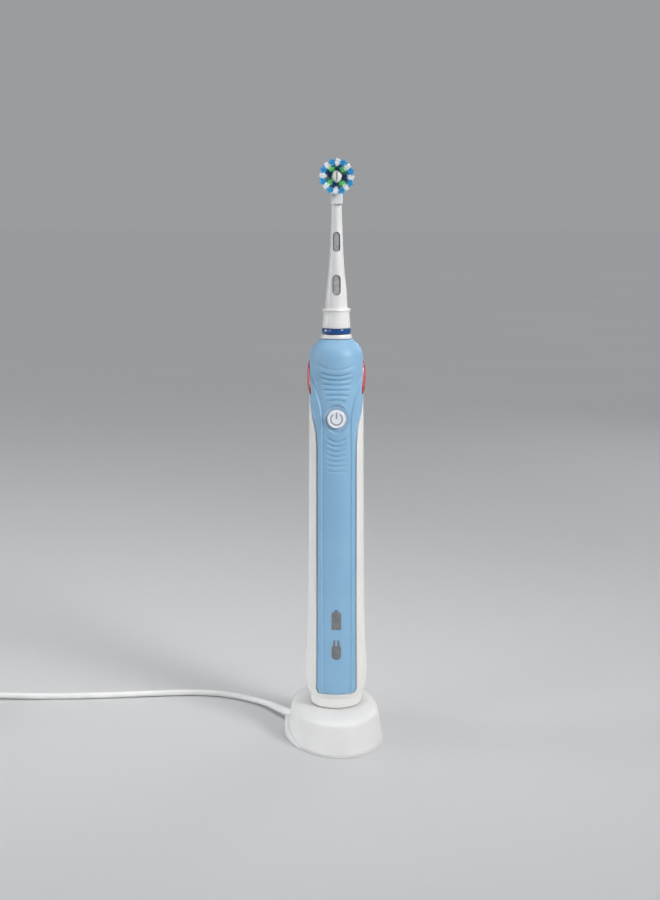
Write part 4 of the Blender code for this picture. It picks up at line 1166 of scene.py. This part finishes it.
def makeTufts(name, angles, kind, lean, material, slotName, node, seed):
    form = brush[kind]
    seats = bpy.data.meshes.new(name + "_seats")
    ring = form["ring"] * mm
    seats.from_pydata([(ring * math.cos(a), ring * math.sin(a), brush["seatHeight"] * mm)
                       for a in map(math.radians, angles)], [], [])
    holder = addObject(name + "_seats", seats)
    modifier = holder.modifiers.new("tufts", "NODES")
    modifier.node_group = tuftTree
    values = {"Filaments": brush["filaments"], "Filament Radius": brush["filamentRadius"] * mm,
              "Length": form["length"] * mm, "Tuft Depth": form["depth"] * mm, "Tuft Width": form["width"] * mm,
              "Flare": form["flare"] * mm, "Lean": lean * mm, "Seed": seed, "Material": material}
    for item in tuftTree.interface.items_tree:
        if item.item_type == "SOCKET" and item.in_out == "INPUT" and item.name in values:
            modifier[item.identifier] = values[item.name]
    evaluated = holder.evaluated_get(bpy.context.evaluated_depsgraph_get())
    mesh = bpy.data.meshes.new_from_object(evaluated)
    mesh.name = name
    mesh.transform(facingFront(head["centre"]))
    if "seat" in mesh.attributes:
        mesh.attributes.remove(mesh.attributes["seat"])
    if not mesh.materials:
        mesh.materials.append(material)
    mesh.shade_smooth()
    mesh.set_sharp_from_angle(angle=math.radians(70))
    obj = addObject(name, mesh)
    bpy.data.objects.remove(holder, do_unlink=True)
    print(name, len(mesh.polygons), "faces")
    return finishPiece(obj, "brush", slotName, node)


def makeDisc():
    profile = ((1.1, 5.7), (4.0, 5.75), (5.6, 5.75), (6.1, 5.62), (6.36, 5.3), (6.4, 4.9), (6.4, 4.35),
               (6.3, 4.1), (6.0, 3.9), (1.9, 3.9), (1.9, -1.5), (1.1, -1.5))
    place = facingFront(head["centre"])
    disc = makeObject("tuft_disc", turned(profile, 96, closed=True), stemWhite, place=place)
    tools = []
    for side in (-1, 1):
        prong = slab(box(0.85, 2.6, (1.275 * side, -2.1)), 2.4, 4.2)
        tools.append(("UNION", placed(prong, place)))
    tools.append(("DIFFERENCE", placed(turned(((1.1, -3.0), (1.1, 4.9)), 48), place)))
    carve(disc, tools)
    finishPiece(disc, "brush", "white_plastic", "brush_disc")
    rows = ((5.6, 2.2, 2.65), (11.0, 2.3, 2.75), (11.9, 2.25, 2.7), (12.4, 2.05, 2.5), (12.75, 1.6, 2.0),
            (12.9, 0.9, 1.2), (12.95, 0.3, 0.4))
    hub = makeObject("hub", loft([oval(a, b, 2.0, z, 64) for z, a, b in rows]), hubWhite, place=place)
    carve(hub, [("DIFFERENCE", placed(slab(slot(0.5, 3.8), 11.4, 15.0), place))], 40)
    finishPiece(hub, "brush", "white_plastic", "disc_hub")


makeDisc()
eighths = [45 * k for k in range(8)]
blueAngles, whiteAngles = [16.5 + a for a in eighths], [39.5 + a for a in eighths]
for details in (
        ("tufts_blue", blueAngles, "outer", 0.3, bristleBlue, "blue_bristle", "outer_tufts", 4),
        ("tufts_white", whiteAngles, "white", 0.15, bristleWhite, "blue_bristle", "outer_tufts", 9),
        ("tufts_green", brush["greenAngles"], "inner", 0.5, bristleGreen, "green_bristle", "inner_tufts", 17),
        ("tufts_navy", brush["navyAngles"], "inner", -0.4, bristleNavy, "green_bristle", "inner_tufts", 23)):
    makeTufts(*details)
print("brush made")

# charger
charger = {
    "centre": (-0.7, 0.75), "halfWidth": 22.0, "halfLength": 30.9, "turn": math.radians(9), "count": 144,
    "pinTop": 30.5, "guardStart": math.radians(-114), "guardEnd": math.radians(-56), "guardHeight": 6.2,
    # how far in from the widest oval, and height, from the dome down to the foot
    "outside": ((9.5, 16.75), (8.0, 16.65), (6.5, 16.45), (5.2, 16.2), (4.2, 15.9), (3.4, 15.5), (2.7, 15.0),
                (2.25, 14.4), (1.98, 13.6), (1.78, 12.4), (1.5, 10.4), (1.15, 8.0), (0.78, 5.5), (0.42, 3.2),
                (0.2, 1.8), (0.2, 1.1), (0.35, 0.7), (0.6, 0.53)),
}


def basePoint(angle, offset, z):
    across = (charger["halfWidth"] - offset) * math.sin(angle)
    along = -(charger["halfLength"] - offset) * math.cos(angle)
    c, s = math.cos(charger["turn"]), math.sin(charger["turn"])
    return (charger["centre"][0] + across * c - along * s, charger["centre"][1] + across * s + along * c, z)


def baseOval(offset, z):
    return [basePoint(math.tau * i / charger["count"], offset, z) for i in range(charger["count"])]


def makeCharger():
    count, top = charger["count"], charger["pinTop"]

    def pinRing(radius, z):
        return circle(radius, z, count, charger["turn"])

    pin = [(0.6, top), (2.9, top), (3.6, top - 0.12), (4.1, top - 0.4), (4.45, top - 0.85), (4.6, top - 1.4),
           (4.6, 17.9), (4.68, 17.5), (4.9, 17.15), (5.4, 16.95)]
    inside = ((2.0, 0.53), (2.0, 2.4), (2.4, 6.0), (4.0, 12.0), (6.2, 13.8), (9.5, 15.0))
    rings = [pinRing(*row) for row in pin]
    # the dome leaves the round foot of the pin and spreads into the oval
    start, end = pinRing(5.9, 16.92), baseOval(9.5, 16.75)
    for share in (0.0, 0.25, 0.5, 0.75):
        rings.append([tuple(Vector(a).lerp(Vector(b), share)) for a, b in zip(start, end)])
    outside = smoothRoute([(inset, z, 0.0) for inset, z in charger["outside"]], 0.45)
    rings += [baseOval(p.x, p.y) for p in outside]
    rings += [baseOval(*row) for row in inside]
    rings += [pinRing(3.4, 15.4), pinRing(3.4, 28.9)]
    piece = makeObject("dock", loft(rings), chargerWhite)
    return finishPiece(piece, "charger", "white_plastic", "charger_shell")


def makeBasePlate():
    rows = ((1.2, 0.0), (0.3, 0.04), (-0.05, 0.2), (-0.05, 0.38), (0.1, 0.5), (2.4, 0.5), (2.6, 0.6),
            (2.6, 2.1))
    plate = makeObject("dock_plate", loft([baseOval(*row) for row in rows]), chargerWhite)
    # the lip beside the cord is highest at the cord and sinks into the plate towards the front
    guard = []
    for share in spread(0.0, 1.0, 60):
        angle = mixed(charger["guardStart"], charger["guardEnd"], share)
        rise = (1 - share ** 1.6) * smoothStep(0.35 + share / 0.05)
        out, high = -0.06 - 1.35 * math.sqrt(rise), 0.46 + (charger["guardHeight"] - 0.46) * rise
        roll = min(0.6, 0.4 * high)
        section = ((out + 0.3, 0.01), (out + 0.06, 0.1), (out, 0.22), (out, high - roll),
                   (out + 0.08, high - 0.5 * roll), (out + 0.3, high - 0.15 * roll), (out + 0.65, high),
                   (1.35, high), (1.35, 0.2))
        guard.append([basePoint(angle, offset, z) for offset, z in section])
    carve(plate, [("UNION", loft(guard))], 35)
    return finishPiece(plate, "charger", "white_plastic", "charger_base_plate")


makeCharger()
makeBasePlate()
print("charger made")

# nodes that keep their shape and get their real finish
finishes = (
    (innerPlastic, ("coil_bobbin", "chassis", "drive_frame", "drive_wheel", "rocker_arm", "head_insert",
                    "rod_coupling")),
    (winding, ("primary_coil", "charge_coil")),
    (ferrite, ("ferrite_core",)),
    (board, ("charger_circuit_board", "circuit_board")),
    (plasticBlack, ("charger_capacitor", "control_chip")),
    (rubberBlack, ("cap_seal",)),
    (brass, ("shaft_bush_upper", "shaft_bush_lower", "motor_pinion")),
    (steel, ("tact_switch", "battery_contact_lower", "battery_contact_upper", "motor_can", "wheel_axle",
             "crank_pin", "disc_pin", "drive_rod")),
    (lampClear, ("battery_led", "charge_led")),
    (lensRed, ("pressure_led",)),
    (cellWrap, ("battery_cell",)),
    (shellWhite, ("bottom_cap",)),
)
for material, nodes in finishes:
    for node in nodes:
        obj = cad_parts[node]
        if not obj.material_slots:
            obj.data.materials.append(material)
        for place in obj.material_slots:
            place.material = material
print("inner parts finished")


# floor and light
studio = {
    "floor": (0.57, 0.575, 0.585), "floorShade": (0.56, 0.565, 0.575), "floorHalf": 20.0,
    "world": (0.93, 0.95, 1.0), "worldStrength": 0.17, "backdrop": (0.325, 0.33, 0.338),
    # name, place, aim, size, power, colour, spread in degrees
    "lamps": (
        ("key", (830, -780, 800), (0, 0, 200), 520, 0.8, (1.0, 0.99, 0.97), 30),
        ("left", (-620, -420, 200), (0, 0, -10), 320, 0.09, (1.0, 1.0, 1.0), 30),
        ("side", (-900, 60, 330), (0, 0, 120), 420, 0.4, (1.0, 1.0, 1.0), 60),
        ("rim", (500, 700, 500), (0, 0, 150), 400, 0.8, (1.0, 1.0, 1.0), 180),
    ),
    "sunTilt": (-0.15, 0.1), "sunAngle": 50.0, "sunPower": 1.35,
}


def makeFloor():
    bm = bmesh.new()
    half = studio["floorHalf"]
    steps = spread(-half, half, 9)
    rows = [[bm.verts.new((x, y, 0.0)) for x in steps] for y in steps]
    for near, far in zip(rows, rows[1:]):
        for i in range(len(steps) - 1):
            bm.faces.new((near[i], near[i + 1], far[i + 1], far[i]))
    mesh = bpy.data.meshes.new("floor")
    bm.to_mesh(mesh)
    bm.free()
    paint = Paint("floorPaint")
    skin = paint.group(mouldedSkin, Tone=studio["floor"], Shade=studio["floorShade"], Cloud_Scale=3.0,
                       Grain_Scale=400.0, Gloss=0.6, Gloss_Spread=0.1)
    mesh.materials.append(paint.wear(skin, None))
    addObject("floor", mesh)


def makeWorld():
    # the sky that lights the object is softer than the pale backdrop that shows behind it
    world = bpy.data.worlds.new("studioWorld")
    scene.world = world
    world.use_nodes = True
    tree = world.node_tree
    light = tree.nodes["Background"]
    light.inputs[0].default_value = (*studio["world"], 1)
    light.inputs[1].default_value = studio["worldStrength"]
    shown = tree.nodes.new("ShaderNodeBackground")
    shown.inputs[0].default_value = (*studio["backdrop"], 1)
    rays = tree.nodes.new("ShaderNodeLightPath")
    blend = tree.nodes.new("ShaderNodeMixShader")
    tree.links.new(rays.outputs["Is Camera Ray"], blend.inputs[0])
    tree.links.new(light.outputs[0], blend.inputs[1])
    tree.links.new(shown.outputs[0], blend.inputs[2])
    tree.links.new(blend.outputs[0], tree.nodes["World Output"].inputs["Surface"])


def makeLights():
    for name, place, aim, size, power, colour, spreadAngle in studio["lamps"]:
        lamp = bpy.data.lights.new(name, "AREA")
        lamp.shape = "SQUARE"
        lamp.size = size * mm
        lamp.energy = power
        lamp.color = colour
        lamp.spread = math.radians(spreadAngle)
        obj = addObject(name, lamp)
        obj.location = Vector(place) * mm
        obj.rotation_euler = (Vector(aim) - Vector(place)).to_track_quat("-Z", "Y").to_euler()
        obj.visible_camera = False
    sun = bpy.data.lights.new("sky", "SUN")
    sun.energy = studio["sunPower"]
    sun.angle = math.radians(studio["sunAngle"])
    addObject("sky", sun).rotation_euler = (*studio["sunTilt"], 0)


makeFloor()
makeWorld()
makeLights()
print("floor and lights set")
